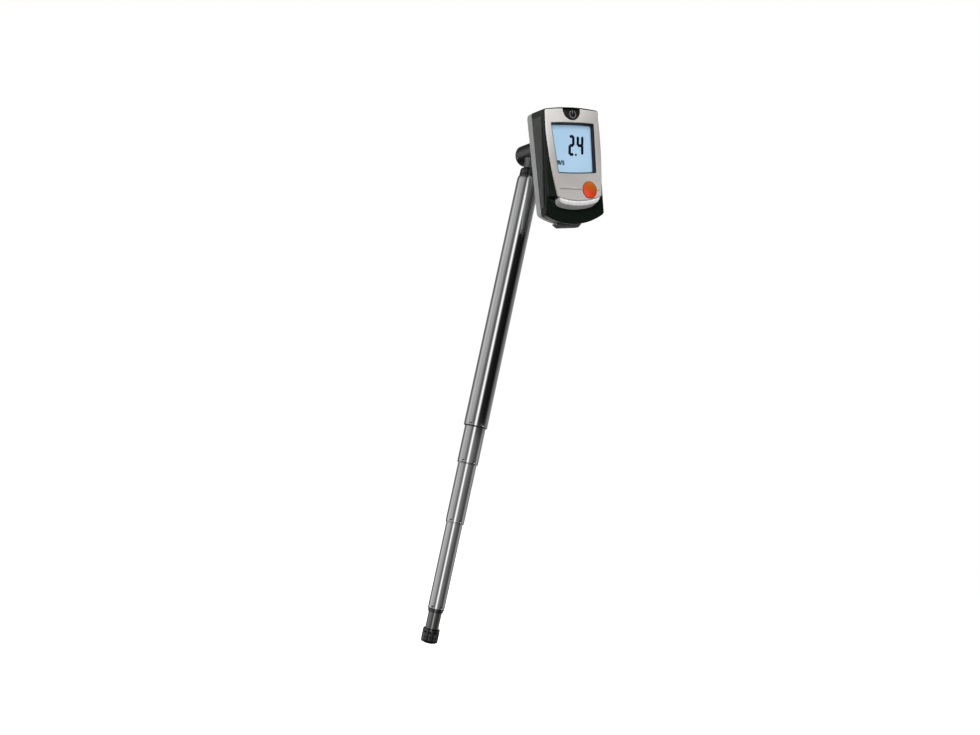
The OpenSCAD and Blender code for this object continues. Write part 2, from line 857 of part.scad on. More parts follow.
module power_button() {
    crown = 0.9;
    dome_r = 26;
    flange_h = 0.6;
    color([0.12, 0.12, 0.12])
    on_back() lean_face() translate([0, 0, button_under]) {
        intersection() {
            translate([power_at[0], power_at[1], flange_h]) cylinder(r = power_r, h = 6);
            translate([-10, 0, 0]) cube([20, power_flat, 6]);
            translate([power_at[0], power_at[1] - 3, crown - dome_r - button_under])
                sphere(r = dome_r, $fn = 96);
        }
        intersection() {
            translate(power_at) cylinder(r = power_r + button_flange - 0.2, h = flange_h);
            translate([-10, 0, 0]) cube([20, power_flat, flange_h]);
        }
        translate([power_at[0], power_press_at, -button_stem[1]])
            cylinder(r = button_stem[0], h = button_stem[1] + 0.1, $fn = 32);
    }
}

module battery_door() {
    color([0.6, 0.61, 0.61])
    on_back() {
        intersection() {
            back_block(rim_w);
            door_region(0);
        }
        hull() {
            translate([-lip_half, lip_top - 1.2, 2.4]) cube([2 * lip_half, 1, 5.4]);
            translate([-lip_half + 2, lip_end, 3.6]) cube([2 * lip_half - 4, 1, 3.6]);
        }
    }
}

handle_tube();
tube_collar();
hinge_barrel();
barrel_cap();
spindle_bush();
friction_washer();
stop_pin();
probe_cable();
tube_two();
guide_ring_two();
tube_three();
guide_ring_three();
tube_four();
guide_ring_four();
stem_bush();
cable_grip();
sensor_lead();
sensor_stem();
sensor_beads();
sensor_sleeve();
back_shell();
front_shell();
side_grip_left();
side_grip_right();
fascia_plate();
crescent_trim();
window_frame();
window_pane();
window_seal();
display_glass();
display_segments();
connector_strips();
circuit_board();
circuit_chips();
mode_switch();
power_switch();
cable_socket();
battery_tray();
battery_cell_left();
battery_cell_right();
contact_springs();
contact_plates();
case_screws();
hinge_spindle();
spindle_clip();
mode_button();
power_button();
battery_door();
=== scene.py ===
# Pocket air-velocity meter with a telescopic probe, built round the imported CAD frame.
# Lengths in this file are millimetres until a piece is made, where they become metres.
import json
import math
import bmesh
import bpy
import numpy as np
from mathutils import Matrix, Vector
from mathutils.geometry import tessellate_polygon


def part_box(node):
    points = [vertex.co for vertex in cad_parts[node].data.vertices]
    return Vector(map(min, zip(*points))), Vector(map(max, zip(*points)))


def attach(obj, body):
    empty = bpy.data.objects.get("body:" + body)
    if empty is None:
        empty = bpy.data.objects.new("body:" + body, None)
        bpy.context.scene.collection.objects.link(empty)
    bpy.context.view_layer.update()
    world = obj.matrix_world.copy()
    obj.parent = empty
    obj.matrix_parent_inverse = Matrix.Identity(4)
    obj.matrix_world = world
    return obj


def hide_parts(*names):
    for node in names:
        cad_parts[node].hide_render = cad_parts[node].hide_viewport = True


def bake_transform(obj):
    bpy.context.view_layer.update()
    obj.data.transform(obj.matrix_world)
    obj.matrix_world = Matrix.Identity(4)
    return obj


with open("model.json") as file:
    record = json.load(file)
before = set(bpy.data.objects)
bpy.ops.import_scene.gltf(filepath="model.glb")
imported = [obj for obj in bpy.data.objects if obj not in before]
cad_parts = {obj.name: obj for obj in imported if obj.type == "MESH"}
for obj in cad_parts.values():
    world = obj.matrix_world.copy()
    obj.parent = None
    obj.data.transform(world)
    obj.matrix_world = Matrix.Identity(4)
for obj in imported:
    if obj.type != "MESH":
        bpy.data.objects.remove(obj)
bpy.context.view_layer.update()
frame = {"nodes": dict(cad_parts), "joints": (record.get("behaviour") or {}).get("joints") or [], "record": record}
metre = 0.001
print("frame loaded,", len(frame["nodes"]), "nodes")

# places read from the frame
jointOf = {j["name"]: j for j in frame["joints"]}
headPivot = np.array(jointOf["head_turn"]["pos_m"]) / metre
slideDown = jointOf["door_slide"]["axis"]
headTurn = math.atan2(-slideDown[0], -slideDown[2])


def boxOf(node):
    low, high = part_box(node)
    return np.array(low) / metre, np.array(high) / metre


def placeBack(points):
    # head coordinates: u right, v up, w towards the viewer from the head's back face
    u, v, w = points[..., 0], points[..., 1], points[..., 2]
    c, s = math.cos(headTurn), math.sin(headTurn)
    x = u * c + v * s
    z = -u * s + v * c
    return np.stack([x, headPivot[1] - w, headPivot[2] + z], -1)


def leanPlane(points, angle, height):
    # tips a plane's own (x, y, z) about the u axis and lifts it, giving (u, v, w)
    x, y, z = points[..., 0], points[..., 1], points[..., 2]
    c, s = math.cos(angle), math.sin(angle)
    return np.stack([x, y * c - z * s, height + y * s + z * c], -1)


headSize = {
    "partW": 8.2,
    "ridgeW": 19.2, "ridgeLean": math.radians(3.94),
    "faceW": 21.1, "faceLean": math.radians(-1.87),
    "wall": 1.6, "faceThick": 1.2, "plateThick": 1.6,
}


def onRidge(points):
    return leanPlane(points, headSize["ridgeLean"], headSize["ridgeW"])


def onFace(points):
    return leanPlane(points, headSize["faceLean"], headSize["faceW"])


# outlines
def arcPoints(cx, cy, r, a, b, n):
    t = np.radians(np.linspace(a, b, n + 1))
    return np.stack([cx + r * np.cos(t), cy + r * np.sin(t)], -1)


def sidePoints(x0, y0, x1, y1, waist, n=18):
    # straight side from one corner to the other, pulled in by a parabola of the waist's depth
    t = np.linspace(0, 1, n + 1)[1:-1]
    return np.stack([x0 + (x1 - x0) * t - 4 * waist * t * (1 - t), y0 + (y1 - y0) * t], -1)


def outlineLoop(top, bottom, waist=0.0, notch=None):
    # arched top and bottom, rounded corners, waisted sides; top and bottom are
    # (half width, crown height, arc radius, corner radius). A notch is (centre height, radius).
    tx, tc = top[0] - top[3], top[1] - top[2]
    ty = tc + math.sqrt((top[2] - top[3]) ** 2 - tx * tx)
    ta = math.degrees(math.atan2(ty - tc, tx))
    bx, bc = bottom[0] - bottom[3], bottom[1] + bottom[2]
    by = bc - math.sqrt((bottom[2] - bottom[3]) ** 2 - bx * bx)
    ba = math.degrees(math.atan2(bc - by, bx))
    if notch is None:
        crown = arcPoints(0, tc, top[2], ta + 0.6, 179.4 - ta, 40)
    else:
        # the notch is the lower part of a circle that crosses the crown arc
        cy, r = notch
        meetX = math.sqrt(r * r - (top[1] - 0.16 - cy) ** 2)
        meet = math.degrees(math.acos(meetX / top[2]))
        meetY = tc + top[2] * math.sin(math.radians(meet))
        start = math.degrees(math.atan2(meetY - cy, meetX))
        crown = np.concatenate([
            arcPoints(0, tc, top[2], ta + 0.6, meet, 9),
            arcPoints(0, cy, math.hypot(meetX, meetY - cy), start, -180 - start, 40)[1:-1],
            arcPoints(0, tc, top[2], 180 - meet, 179.4 - ta, 9),
        ])
    return np.concatenate([
        arcPoints(bx, by, bottom[3], -ba, 0, 7),
        sidePoints(bottom[0], by, top[0], ty, waist),
        arcPoints(tx, ty, top[3], 0, ta, 7),
        crown,
        arcPoints(-tx, ty, top[3], 180 - ta, 180, 7),
        sidePoints(-top[0], ty, -bottom[0], by, -waist),
        arcPoints(-bx, by, bottom[3], 180, 180 + ba, 7),
        arcPoints(0, bc, bottom[2], 180.6 + ba, 359.4 - ba, 40),
    ])


def partLine(d=0.0):
    return outlineLoop((23 - d, 20 - d, 147, 2), (22 - d, -54 + d, 42 - d, 2.6), 0.9)


def ridgeLine(d=0.0):
    return outlineLoop((21.6 - d, 20 - d, 147, 1.6), (23.5 - d, -54.5 + d, 47.3 - d, 2.2), 0.3)


def footLine(d=0.0):
    return outlineLoop((20.9 - d, 19.8 - d, 147, 1.2), (22.2 - d, -40.3 + d, 80, 2), 0.2)


def faceLine(d=0.0, notch=None):
    return outlineLoop((21 - d, 19.6 - d, 147, 1), (17.5 - d, -40.2 + d, 53.6, 0.9), -1.3, notch)


def windowLine(d=0.0):
    return outlineLoop((17.1 - d, 10.3 - d, 300, 1), (15.3 - d, -22.7 + d, 300, 1))


def halfRound(radius, flat, centreV, n=48):
    # lower part of a circle about (0, centreV), closed by a straight top at the height flat
    start = math.degrees(math.asin((flat - centreV) / radius))
    return arcPoints(0, centreV, radius, start, -180 - start, n)[::-1]


def level(loop, z):
    return np.concatenate([loop, np.full((len(loop), 1), float(z))], 1)


def faceLoop(loop, z):
    return placeBack(onFace(level(loop, z)))


def resampled(loop, n):
    # the same closed loop with n points evenly spaced along it
    ring = np.concatenate([loop, loop[:1]])
    gone = np.concatenate([[0], np.cumsum(np.linalg.norm(np.diff(ring, axis=0), axis=1))])
    want = np.linspace(0, gone[-1], n, endpoint=False)
    return np.stack([np.interp(want, gone, ring[:, k]) for k in range(ring.shape[1])], -1)


# building surfaces
def newShape():
    return {"points": [], "faces": [], "count": 0}


def addPoints(shape, points):
    start = shape["count"]
    shape["points"].append(points.reshape(-1, 3))
    shape["count"] += points.reshape(-1, 3).shape[0]
    return start


def addSkin(shape, loops, closed=True):
    # quads between each loop and the next; loops is (rows, columns, 3)
    loops = np.asarray(loops)
    rows, cols = loops.shape[:2]
    grid = addPoints(shape, loops) + np.arange(rows * cols).reshape(rows, cols)
    nxt = np.roll(grid, -1, 1) if closed else grid[:, 1:]
    now = grid if closed else grid[:, :-1]
    quads = np.stack([now[:-1], nxt[:-1], nxt[1:], now[1:]], -1).reshape(-1, 4)
    shape["faces"] += quads.tolist()


def addFan(shape, loop, centre):
    # triangles from a loop to one point
    start = addPoints(shape, loop)
    tip = addPoints(shape, np.asarray(centre, float).reshape(1, 3))
    n = len(loop)
    shape["faces"] += [[start + i, start + (i + 1) % n, tip] for i in range(n)]


def addPlate(shape, loops):
    # a flat face with holes: the first loop is its edge and the others are its holes
    start = addPoints(shape, np.concatenate(loops))
    tris = tessellate_polygon([[Vector(p) for p in loop] for loop in loops])
    shape["faces"] += [[start + i for i in t] for t in tris]


def addSlab(shape, bottom, top):
    addPlate(shape, [top])
    addPlate(shape, [bottom])
    addSkin(shape, [bottom, top])


def makePiece(shape, name, body, slotName, replaced=(), sharp=32, material=None):
    # makes the mesh in metres and cleans it, gives it the slot's material, hangs it on its body's empty and hides
    # the CAD nodes it replaces
    points = np.concatenate(shape["points"]) * metre
    mesh = bpy.data.meshes.new(name)
    mesh.from_pydata(points.tolist(), [], shape["faces"])
    work = bmesh.new()
    work.from_mesh(mesh)
    bmesh.ops.remove_doubles(work, verts=work.verts, dist=2e-6)
    bmesh.ops.dissolve_degenerate(work, edges=work.edges, dist=1e-7)
    bmesh.ops.recalc_face_normals(work, faces=work.faces)
    work.to_mesh(mesh)
    work.free()
    mesh.shade_smooth()
    mesh.set_sharp_from_angle(angle=math.radians(sharp))
    mesh.materials.append(material or mats[slotName])
    piece = bpy.data.objects.new(name, mesh)
    bpy.context.scene.collection.objects.link(piece)
    if body:
        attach(piece, body)
    if replaced:
        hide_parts(*replaced)
    return piece


def softProfile(points, soft, closed=False):
    # rounds each corner with a short parabola and keeps a support point beside it
    points = [np.array(p, float) for p in points]
    out = []
    n = len(points)
    for i, p in enumerate(points):
        if not closed and i in (0, n - 1):
            out.append(p)
            continue
        before, after = points[i - 1] - p, points[(i + 1) % n] - p
        la, lb = np.linalg.norm(before), np.linalg.norm(after)
        r = soft[i] if np.ndim(soft) else soft
        ra, rb = min(r, la * 0.42), min(r, lb * 0.42)
        a, b = p + before / la * ra, p + after / lb * rb
        out.append(p + before / la * min(ra * 1.6 + 0.02, la * 0.48))
        t = np.linspace(0, 1, 6)[:, None]
        out += list((1 - t) ** 2 * a + 2 * t * (1 - t) * p + t * t * b)
        out.append(p + after / lb * min(rb * 1.6 + 0.02, lb * 0.48))
    return np.array(out)


def turned(profile, axis="z", centre=(0, 0, 0), columns=128):
    # loops of a surface of revolution from (radius, height) points
    a = np.linspace(0, 2 * np.pi, columns, endpoint=False)
    r, h = profile[:, :1], profile[:, 1:]
    x, y = r * np.cos(a), r * np.sin(a)
    z = np.broadcast_to(h, x.shape)
    if axis == "y":
        loops = np.stack([x, z, y], -1)
    else:
        loops = np.stack([x, y, z], -1)
    return loops + np.asarray(centre, float)


def turnedPiece(name, profile, material, replaced, axis="z", centre=(0, 0, 0), ring=True):
    # ring=True joins the profile's end to its start; otherwise both ends sit on the axis
    shape = newShape()
    loops = turned(profile, axis, centre)
    if ring:
        loops = np.concatenate([loops, loops[:1]])
    addSkin(shape, loops)
    makePiece(shape, name, "handle", "black_barrel", replaced, material=material)


# materials
def nodesOf(name):
    material = bpy.data.materials.new(name)
    material.use_nodes = True
    tree = material.node_tree
    return material, tree, tree.nodes["Principled BSDF"]


def addNode(tree, kind, **values):
    node = tree.nodes.new(kind)
    for key, value in values.items():
        if key in node.inputs:
            node.inputs[key].default_value = value
        else:
            setattr(node, key, value)
    return node


def feed(node, key, output):
    node.id_data.links.new(output, node.inputs[key])


def splitOf(tree, vector):
    # the X, Y and Z outputs of a vector
    split = addNode(tree, "ShaderNodeSeparateXYZ")
    feed(split, "Vector", vector)
    return split.outputs


def objectCoords(tree, scale=(1, 1, 1), turn=(0, 0, 0)):
    coords = addNode(tree, "ShaderNodeTexCoord")
    mapping = addNode(tree, "ShaderNodeMapping")
    setInputs(mapping, {"Scale": scale, "Rotation": turn})
    feed(mapping, "Vector", coords.outputs["Object"])
    return mapping.outputs["Vector"]


def noiseOf(tree, vector, scale, detail=4.0, rough=0.55):
    noise = addNode(tree, "ShaderNodeTexNoise", Scale=scale, Detail=detail, Roughness=rough)
    feed(noise, "Vector", vector)
    return noise.outputs["Fac"]


def rampOf(tree, factor, stops):
    ramp = addNode(tree, "ShaderNodeValToRGB")
    band = ramp.color_ramp
    while len(band.elements) < len(stops):
        band.elements.new(0.5)
    for element, (place, colour) in zip(band.elements, stops):
        element.position = place
        element.color = (*colour, 1)
    feed(ramp, "Fac", factor)
    return ramp.outputs["Color"]


def setInputs(node, values):
    for key, value in values.items():
        node.inputs[key].default_value = value


def rangeOf(tree, factor, low, high, start=0.3, end=0.7):
    node = addNode(tree, "ShaderNodeMapRange")
    setInputs(node, {"From Min": start, "From Max": end, "To Min": low, "To Max": high})
    feed(node, "Value", factor)
    return node.outputs["Result"]


def bumpOf(tree, shader, height, strength, distance=0.0001):
    bump = addNode(tree, "ShaderNodeBump", Strength=strength, Distance=distance)
    feed(bump, "Height", height)
    feed(shader, "Normal", bump.outputs["Normal"])


def productOf(tree, first, second):
    product = addNode(tree, "ShaderNodeMixRGB", blend_type="MULTIPLY", Fac=1.0)
    feed(product, "Color1", first)
    feed(product, "Color2", second)
    return product.outputs["Color"]


def shade(colour, k):
    return tuple(min(1.0, c * k) for c in colour)


# what a surface has unless its own look says otherwise
plainLook = {
    "stretch": (1, 1, 1), "patch": 90, "spread": 0.06, "wear": 260, "roughSpan": (0.85, 1.2),
    "metal": 0.0, "specular": 0.5, "ior": 1.5, "coat": 0.0, "coatRough": 0.1, "bumpHigh": 0.00006,
}
lookSockets = {"Metallic": "metal", "Specular IOR Level": "specular", "IOR": "ior",
               "Coat Weight": "coat", "Coat Roughness": "coatRough"}


def grainMaterial(name, look):
    # a moulded, painted or machined surface: colour and roughness wander, a fine grain bumps it
    material, tree, shader = nodesOf(name)
    vector = objectCoords(tree, look["stretch"])
    wander = noiseOf(tree, vector, look["patch"], 3)
    darker, lighter = (shade(look["base"], 1 + side * look["spread"]) for side in (-1, 1))
    colour = rampOf(tree, wander, [(0.3, darker), (0.7, lighter)])
    feed(shader, "Base Color", colour)
    low, high = (look["rough"] * k for k in look["roughSpan"])
    wear = noiseOf(tree, vector, look["wear"], 5)
    feed(shader, "Roughness", rangeOf(tree, wear, low, high))
    for socket, key in lookSockets.items():
        shader.inputs[socket].default_value = look[key]
    grain = noiseOf(tree, vector, look["grain"], 2)
    bumpOf(tree, shader, grain, look["bump"], look["bumpHigh"])
    return material


def finish(base, rough, grain=2600, bump=0.15, **other):
    return {**plainLook, "base": base, "rough": rough, "grain": grain, "bump": bump, **other}


# base colour, roughness, scale and strength of the grain, and what differs from the plain look
looks = {
    "black_barrel": finish((0.003, 0.003, 0.003), 0.2, 3200, 0.06, specular=0.75, ior=2.1),
    "sleeve_black": finish((0.002, 0.002, 0.002), 0.1, 3000, 0.03, specular=0.55, ior=1.8),
    "collar_gloss": finish((0.002, 0.002, 0.002), 0.14, 3000, 0.04, specular=0.55, ior=1.7),
    "shell_dark": finish((0.005, 0.0085, 0.0058), 0.28, 3400, 0.1, specular=0.4),
    "shell_grey": finish((0.2, 0.206, 0.204), 0.34, 3000, 0.14),
    "door_grey": finish((0.1, 0.104, 0.102), 0.38, 3000, 0.14),
    "grip_rubber": finish((0.04, 0.041, 0.039), 0.5, 4200, 0.3, specular=0.4),
    "trim_chrome": finish((0.97, 0.97, 0.965), 0.26, 4000, 0.02, metal=0.1, spread=0.01),
    "seal_foam": finish((0.01, 0.01, 0.012), 0.9, 5200, 0.6),
    "segment_ink": finish((0.002, 0.0025, 0.01), 0.55, 1500, 0.03, specular=0.1),
    "frame_black": finish((0.016, 0.019, 0.028), 0.45, 2800, 0.12, specular=0.3),
    "strip_rubber": finish((0.3, 0.07, 0.09), 0.6, 900, 0.2, stretch=(8, 1, 1)),
    "chip_black": finish((0.02, 0.02, 0.02), 0.5, 4000, 0.2),
    "switch_dark": finish((0.05, 0.05, 0.055), 0.45, 2500),
    "socket_cream": finish((0.72, 0.68, 0.56), 0.4, 2500, 0.1),
    "tray_black": finish((0.02, 0.02, 0.02), 0.5, 2600, 0.2),
    "contact_steel": finish((0.62, 0.61, 0.58), 0.25, 2600, 0.1, metal=1.0, stretch=(1, 1, 12)),
    "screw_steel": finish((0.16, 0.16, 0.165), 0.35, 2000, 0.1, metal=1.0),
    "pin_steel": finish((0.55, 0.55, 0.56), 0.2, 2600, 0.08, metal=1.0, stretch=(1, 14, 1)),
    "bush_bronze": finish((0.55, 0.36, 0.16), 0.35, 5200, 0.2, metal=1.0),
    "ring_acetal": finish((0.78, 0.78, 0.73), 0.38, 1800, 0.08),
    "cable_jacket": finish((0.025, 0.025, 0.025), 0.55, 3200, 0.2),
    "bead_glass": finish((0.55, 0.48, 0.32), 0.12, 1500, 0.05, coat=0.6),
    "button_black": finish((0.016, 0.016, 0.017), 0.28, 3600, 0.08),
}
mats = {name: grainMaterial(name, look) for name, look in looks.items()}


def polishedSteel(name, look):
    # drawn and polished tube: faint lengthwise lines, fine scatter scratches and smudged patches
    material, tree, shader = nodesOf(name)
    lines = noiseOf(tree, objectCoords(tree, (1, 1, 0.012)), look["lines"], 6, 0.6)
    smudge = noiseOf(tree, objectCoords(tree, (1, 1, 0.5)), 70, 4, 0.6)
    colour = rampOf(tree, smudge, [(0.25, look["dark"]), (0.75, look["light"])])
    feed(shader, "Base Color", colour)
    feed(shader, "Roughness", rangeOf(tree, smudge, look["rough"] * 0.75, look["rough"] * 1.5))
    setInputs(shader, {"Metallic": 1.0})
    bumpOf(tree, shader, lines, 0.10, 0.00004)
    return material


steelLooks = {
    "polished_tube": {"lines": 900, "rough": 0.06, "dark": (0.60, 0.60, 0.60),
                      "light": (0.70, 0.70, 0.70)},
    "polished_stem": {"lines": 1100, "rough": 0.10, "dark": (0.20, 0.205, 0.195),
                      "light": (0.28, 0.285, 0.275)},
}
for steelName, steelLook in steelLooks.items():
    mats[steelName] = polishedSteel(steelName, steelLook)


# slant, sweep and the light stops lay painted light over the fascia: a painted highlight at the top left, painted
# shade lower down
fasciaLook = {
    "flakes": 5200.0, "flakeStops": [(0.0, (0.92, 0.90, 0.88)), (0.8, (1, 0.985, 0.97))],
    "slant": -1.3, "sweep": (-0.035, 0.065), "rough": (0.30, 0.42),
    "paintedLightStops": [(0.0, (0.60, 0.59, 0.58)), (0.3, (0.50, 0.485, 0.475)),
                  (0.55, (0.56, 0.55, 0.54)), (0.8, (0.80, 0.79, 0.78)), (1.0, (0.90, 0.90, 0.90))],
}


def fasciaPaint():
    # satin silver lacquer: fine metal flake under a thin clear coat, with a painted highlight towards the top left
    # and painted shade lower down and to the right
    material, tree, shader = nodesOf("fascia_silver")
    vector = objectCoords(tree)
    flake = addNode(tree, "ShaderNodeTexVoronoi", Scale=fasciaLook["flakes"])
    feed(flake, "Vector", vector)
    colour = rampOf(tree, flake.outputs["Distance"], fasciaLook["flakeStops"])
    split = splitOf(tree, vector)
    slant = addNode(tree, "ShaderNodeMath", operation="MULTIPLY_ADD")
    slant.inputs[1].default_value = fasciaLook["slant"]
    feed(slant, 0, split["X"])
    feed(slant, 2, split["Z"])
    # painted light: a ramp across the plate, paler towards the top left as a painted highlight and darker lower
    # down as painted shade
    paintedShadeAndHighlight = rampOf(tree, rangeOf(tree, slant.outputs[0], 0, 1, *fasciaLook["sweep"]),
                  fasciaLook["paintedLightStops"])
    feed(shader, "Base Color", productOf(tree, colour, paintedShadeAndHighlight))
    feed(shader, "Roughness", rangeOf(tree, noiseOf(tree, vector, 140, 4), *fasciaLook["rough"]))
    setInputs(shader, {"Metallic": 0.15, "Coat Weight": 0.15, "Coat Roughness": 0.25})
    bumpOf(tree, shader, noiseOf(tree, vector, 4200, 2), 0.12, 0.00005)
    return material


def displayFilmWithPaintedGlow():
    # pale blue backing of a reflective display, with a faint texture of cells; it also glows with painted light,
    # though it is no lamp
    material, tree, shader = nodesOf("display_blue")
    vector = objectCoords(tree)
    cloud = noiseOf(tree, vector, 45, 3)
    colour = rampOf(tree, cloud, [(0.3, (0.28, 0.42, 0.56)), (0.7, (0.32, 0.46, 0.60))])
    feed(shader, "Base Color", colour)
    # painted light: the film's own colour also feeds emission, so the display glows
    feed(shader, "Emission Color", colour)
    setInputs(shader, {"Emission Strength": 0.62, "Roughness": 0.5})
    cells = addNode(tree, "ShaderNodeTexChecker", Scale=4200.0)
    feed(cells, "Vector", vector)
    bumpOf(tree, shader, cells.outputs["Fac"], 0.05, 0.00003)
    return material


def clearPane():
    material, tree, shader = nodesOf("pane_clear")
    setInputs(shader, {"Base Color": (0.05, 0.06, 0.07, 1), "Alpha": 0.05, "IOR": 1.49})
    vector = objectCoords(tree)
    feed(shader, "Roughness", rangeOf(tree, noiseOf(tree, vector, 60, 4), 0.03, 0.09))
    return material


def orangeWithPaintedShade(centre):
    # orange moulding with painted shade: darker and browner high up, lighter and redder low down, and a soft sheen
    # from its roughness
    material, tree, shader = nodesOf("button_orange")
    vector = addNode(tree, "ShaderNodeTexCoord").outputs["Object"]
    low, top = ((centre[2] + side * 5) * metre for side in (-1, 1))
    # painted shade: the colour is ramped by height, browner and darker at the top where shade falls, redder and
    # lighter lower down
    high = rangeOf(tree, splitOf(tree, vector)["Z"], 0, 1, low, top)
    colour = rampOf(tree, high, [(0.05, (0.80, 0.050, 0.012)), (0.30, (0.66, 0.050, 0.010)),
                                 (0.62, (0.46, 0.095, 0.012)), (0.95, (0.50, 0.130, 0.020))])
    feed(shader, "Base Color", colour)
    feed(shader, "Roughness", rangeOf(tree, noiseOf(tree, vector, 300, 3), 0.28, 0.36))
    bumpOf(tree, shader, noiseOf(tree, vector, 3600, 2), 0.06, 0.00004)
    return material


def boardGreen():
    # solder mask with a maze of darker tracks
    material, tree, shader = nodesOf("board_green")
    vector = objectCoords(tree)
    maze = addNode(tree, "ShaderNodeTexBrick", Scale=420.0)
    setInputs(maze, {"Color1": (0.012, 0.12, 0.045, 1), "Color2": (0.02, 0.17, 0.07, 1),
                     "Mortar": (0.05, 0.24, 0.12, 1)})
    feed(maze, "Vector", vector)
    feed(shader, "Base Color", maze.outputs["Color"])
    setInputs(shader, {"Roughness": 0.3})
    bumpOf(tree, shader, maze.outputs["Fac"], 0.2, 0.00003)
    return material


def cellWrap():
    # printed sleeve of a dry cell: plain bands along its length
    material, tree, shader = nodesOf("cell_wrap")
    vector = objectCoords(tree, turn=(0, headTurn, 0))
    band = rangeOf(tree, splitOf(tree, vector)["Z"], 0, 1, -0.035, 0.02)
    colour = rampOf(tree, band, [(0.0, (0.02, 0.05, 0.16)), (0.66, (0.03, 0.07, 0.22)),
                                 (0.7, (0.55, 0.36, 0.10))])
    feed(shader, "Base Color", colour)
    setInputs(shader, {"Roughness": 0.28})
    bumpOf(tree, shader, noiseOf(tree, vector, 1500, 3), 0.08, 0.00004)
    return material


ownLooks = {"fascia_silver": fasciaPaint, "display_blue": displayFilmWithPaintedGlow, "pane_clear": clearPane,
            "board_green": boardGreen, "cell_wrap": cellWrap}
for lookName, makeLook in ownLooks.items():
    mats[lookName] = makeLook()
print("materials made:", len(mats))

# probe tubes
tubeLook = {
    "wall": 0.5, "edge": 0.16, "shoulder": 2.6, "neckR": 7.25, "columns": 240,
    "plainRows": 14, "dentRows": 34, "dentDepth": 0.6, "dentHalf": 0.9, "dentAbove": 0.55,
    "dentBearings": (4, 64, 124, 184, 244, 304),
}
# piece, node, radius of the mouth, height of the rolled end
tubeRows = (
    ("handleTube", "handle_tube", 7.1, 0.9),
    ("tubeTwo", "tube_two", 6.3, 0.9),
    ("tubeThree", "tube_three", 5.6, 0.9),
    ("tubeFour", "tube_four", 4.35, 2.6),
)


def tubePiece(name, node, mouth, roll):
    # polished tube: the wall's profile carried round the axis. Its lower end is rolled in to the
    # mouth's radius, and dents near that end follow depth * exp(-(distance / half width)^4)
    low, high = boxOf(node)
    r, top, bottom = high[0], high[2], low[2]
    wall, neck, drop = tubeLook["wall"], tubeLook["neckR"], tubeLook["shoulder"]
    dentZ = bottom + roll + tubeLook["dentAbove"]
    if node == "handle_tube":
        # the outer tube closes in to its neck with a quarter ellipse
        q = np.radians(np.linspace(90, 0, 12))
        upper = [(r - wall - 0.2, top - drop), (neck - wall, top)]
        upper += [(neck + (r - neck) * math.cos(t), top - drop + drop * math.sin(t)) for t in q]
    else:
        upper = [(r - wall, top), (r - wall * 0.5, top + 0.01), (r, top - 0.15)]
    rows = [(r, z) for z in np.linspace(top - 4, dentZ + 6, tubeLook["plainRows"])]
    rows += [(r, z) for z in np.linspace(dentZ + 3, bottom + roll + 0.2, tubeLook["dentRows"])]
    lower = [
        (r, bottom + roll + 0.1), (r - 0.1, bottom + roll - 0.12), (mouth + wall, bottom + 0.12),
        (mouth + wall - 0.14, bottom), (mouth, bottom), (mouth, bottom + 0.6),
        (r - wall, bottom + roll + 0.8),
    ]
    lower = softProfile(lower, tubeLook["edge"])
    profile = np.concatenate([np.array(upper), np.array(rows), lower])
    loops = turned(profile, columns=tubeLook["columns"])
    bearing = np.degrees(np.arctan2(loops[..., 1], loops[..., 0]))
    outside = np.hypot(loops[..., 0], loops[..., 1]) > r - 0.02
    for place in tubeLook["dentBearings"]:
        across = np.radians((bearing - place - 90 + 180) % 360 - 180) * r
        away = np.hypot(across, loops[..., 2] - dentZ) / tubeLook["dentHalf"]
        pull = np.where(outside, tubeLook["dentDepth"] * np.exp(-away ** 4), 0)
        loops[..., :2] *= (1 - pull / r)[..., None]
    shape = newShape()
    addSkin(shape, np.concatenate([loops, loops[:1]]))
    makePiece(shape, name, bodyOfNode[node], "polished_tube", (node,))


bodies = frame["record"]["behaviour"]["bodies"]
bodyOfNode = {node: body for body, members in bodies.items() for node in members}
for tubeRow in tubeRows:
    tubePiece(*tubeRow)
print("tubes made")

cableLook = {"r": 1.0, "bend": 4.0, "coilR": 3.2, "ease": 0.1, "sides": 14, "turnPoints": 40,
             "leadEnd": -14.0}
# piece, body above, body below, top, bottom, turns
cableRows = (
    ("cableUpper", "handle", "tube_two", cableLook["leadEnd"], -55.0, 4),
    ("cableMiddle", "tube_two", "tube_three", -55.0, -120.0, 6),
    ("cableLower", "tube_three", "tube_four", -120.0, -208.0, 9),
)


def wireShape(path):
    # round wire: at each point of the path a circle square to the path's direction
    step = np.gradient(path, axis=0)
    step /= np.linalg.norm(step, axis=1)[:, None]
    side = np.cross(step, (1.0, 0.0, 0.0))
    side /= np.linalg.norm(side, axis=1)[:, None]
    lift = np.cross(step, side)
    a = np.linspace(0, 2 * np.pi, cableLook["sides"], endpoint=False)
    ring = np.cos(a)[None, :, None] * side[:, None, :] + np.sin(a)[None, :, None] * lift[:, None, :]
    loops = path[:, None, :] + cableLook["r"] * ring
    shape = newShape()
    addSkin(shape, loops)
    addFan(shape, loops[0], path[0])
    addFan(shape, loops[-1], path[-1])
    return shape


def cableLead():
    # from the socket's side of the hinge, round one bend and down the collar's bore
    start, bend, up = boxOf("probe_cable")[0][1], cableLook["bend"], headPivot[2]
    q = np.linspace(0, np.pi / 2, 24)
    y = np.concatenate([np.linspace(start, -bend, 21)[:-1], -bend + bend * np.sin(q), np.zeros(12)])
    z = np.concatenate([np.full(20, up), up - bend + bend * np.cos(q),
                        np.linspace(up - bend, cableLook["leadEnd"], 13)[1:]])
    shape = wireShape(np.stack([np.zeros(len(y)), y, z], -1))
    makePiece(shape, "cableLead", "handle", "cable_jacket", ("probe_cable",), 60)


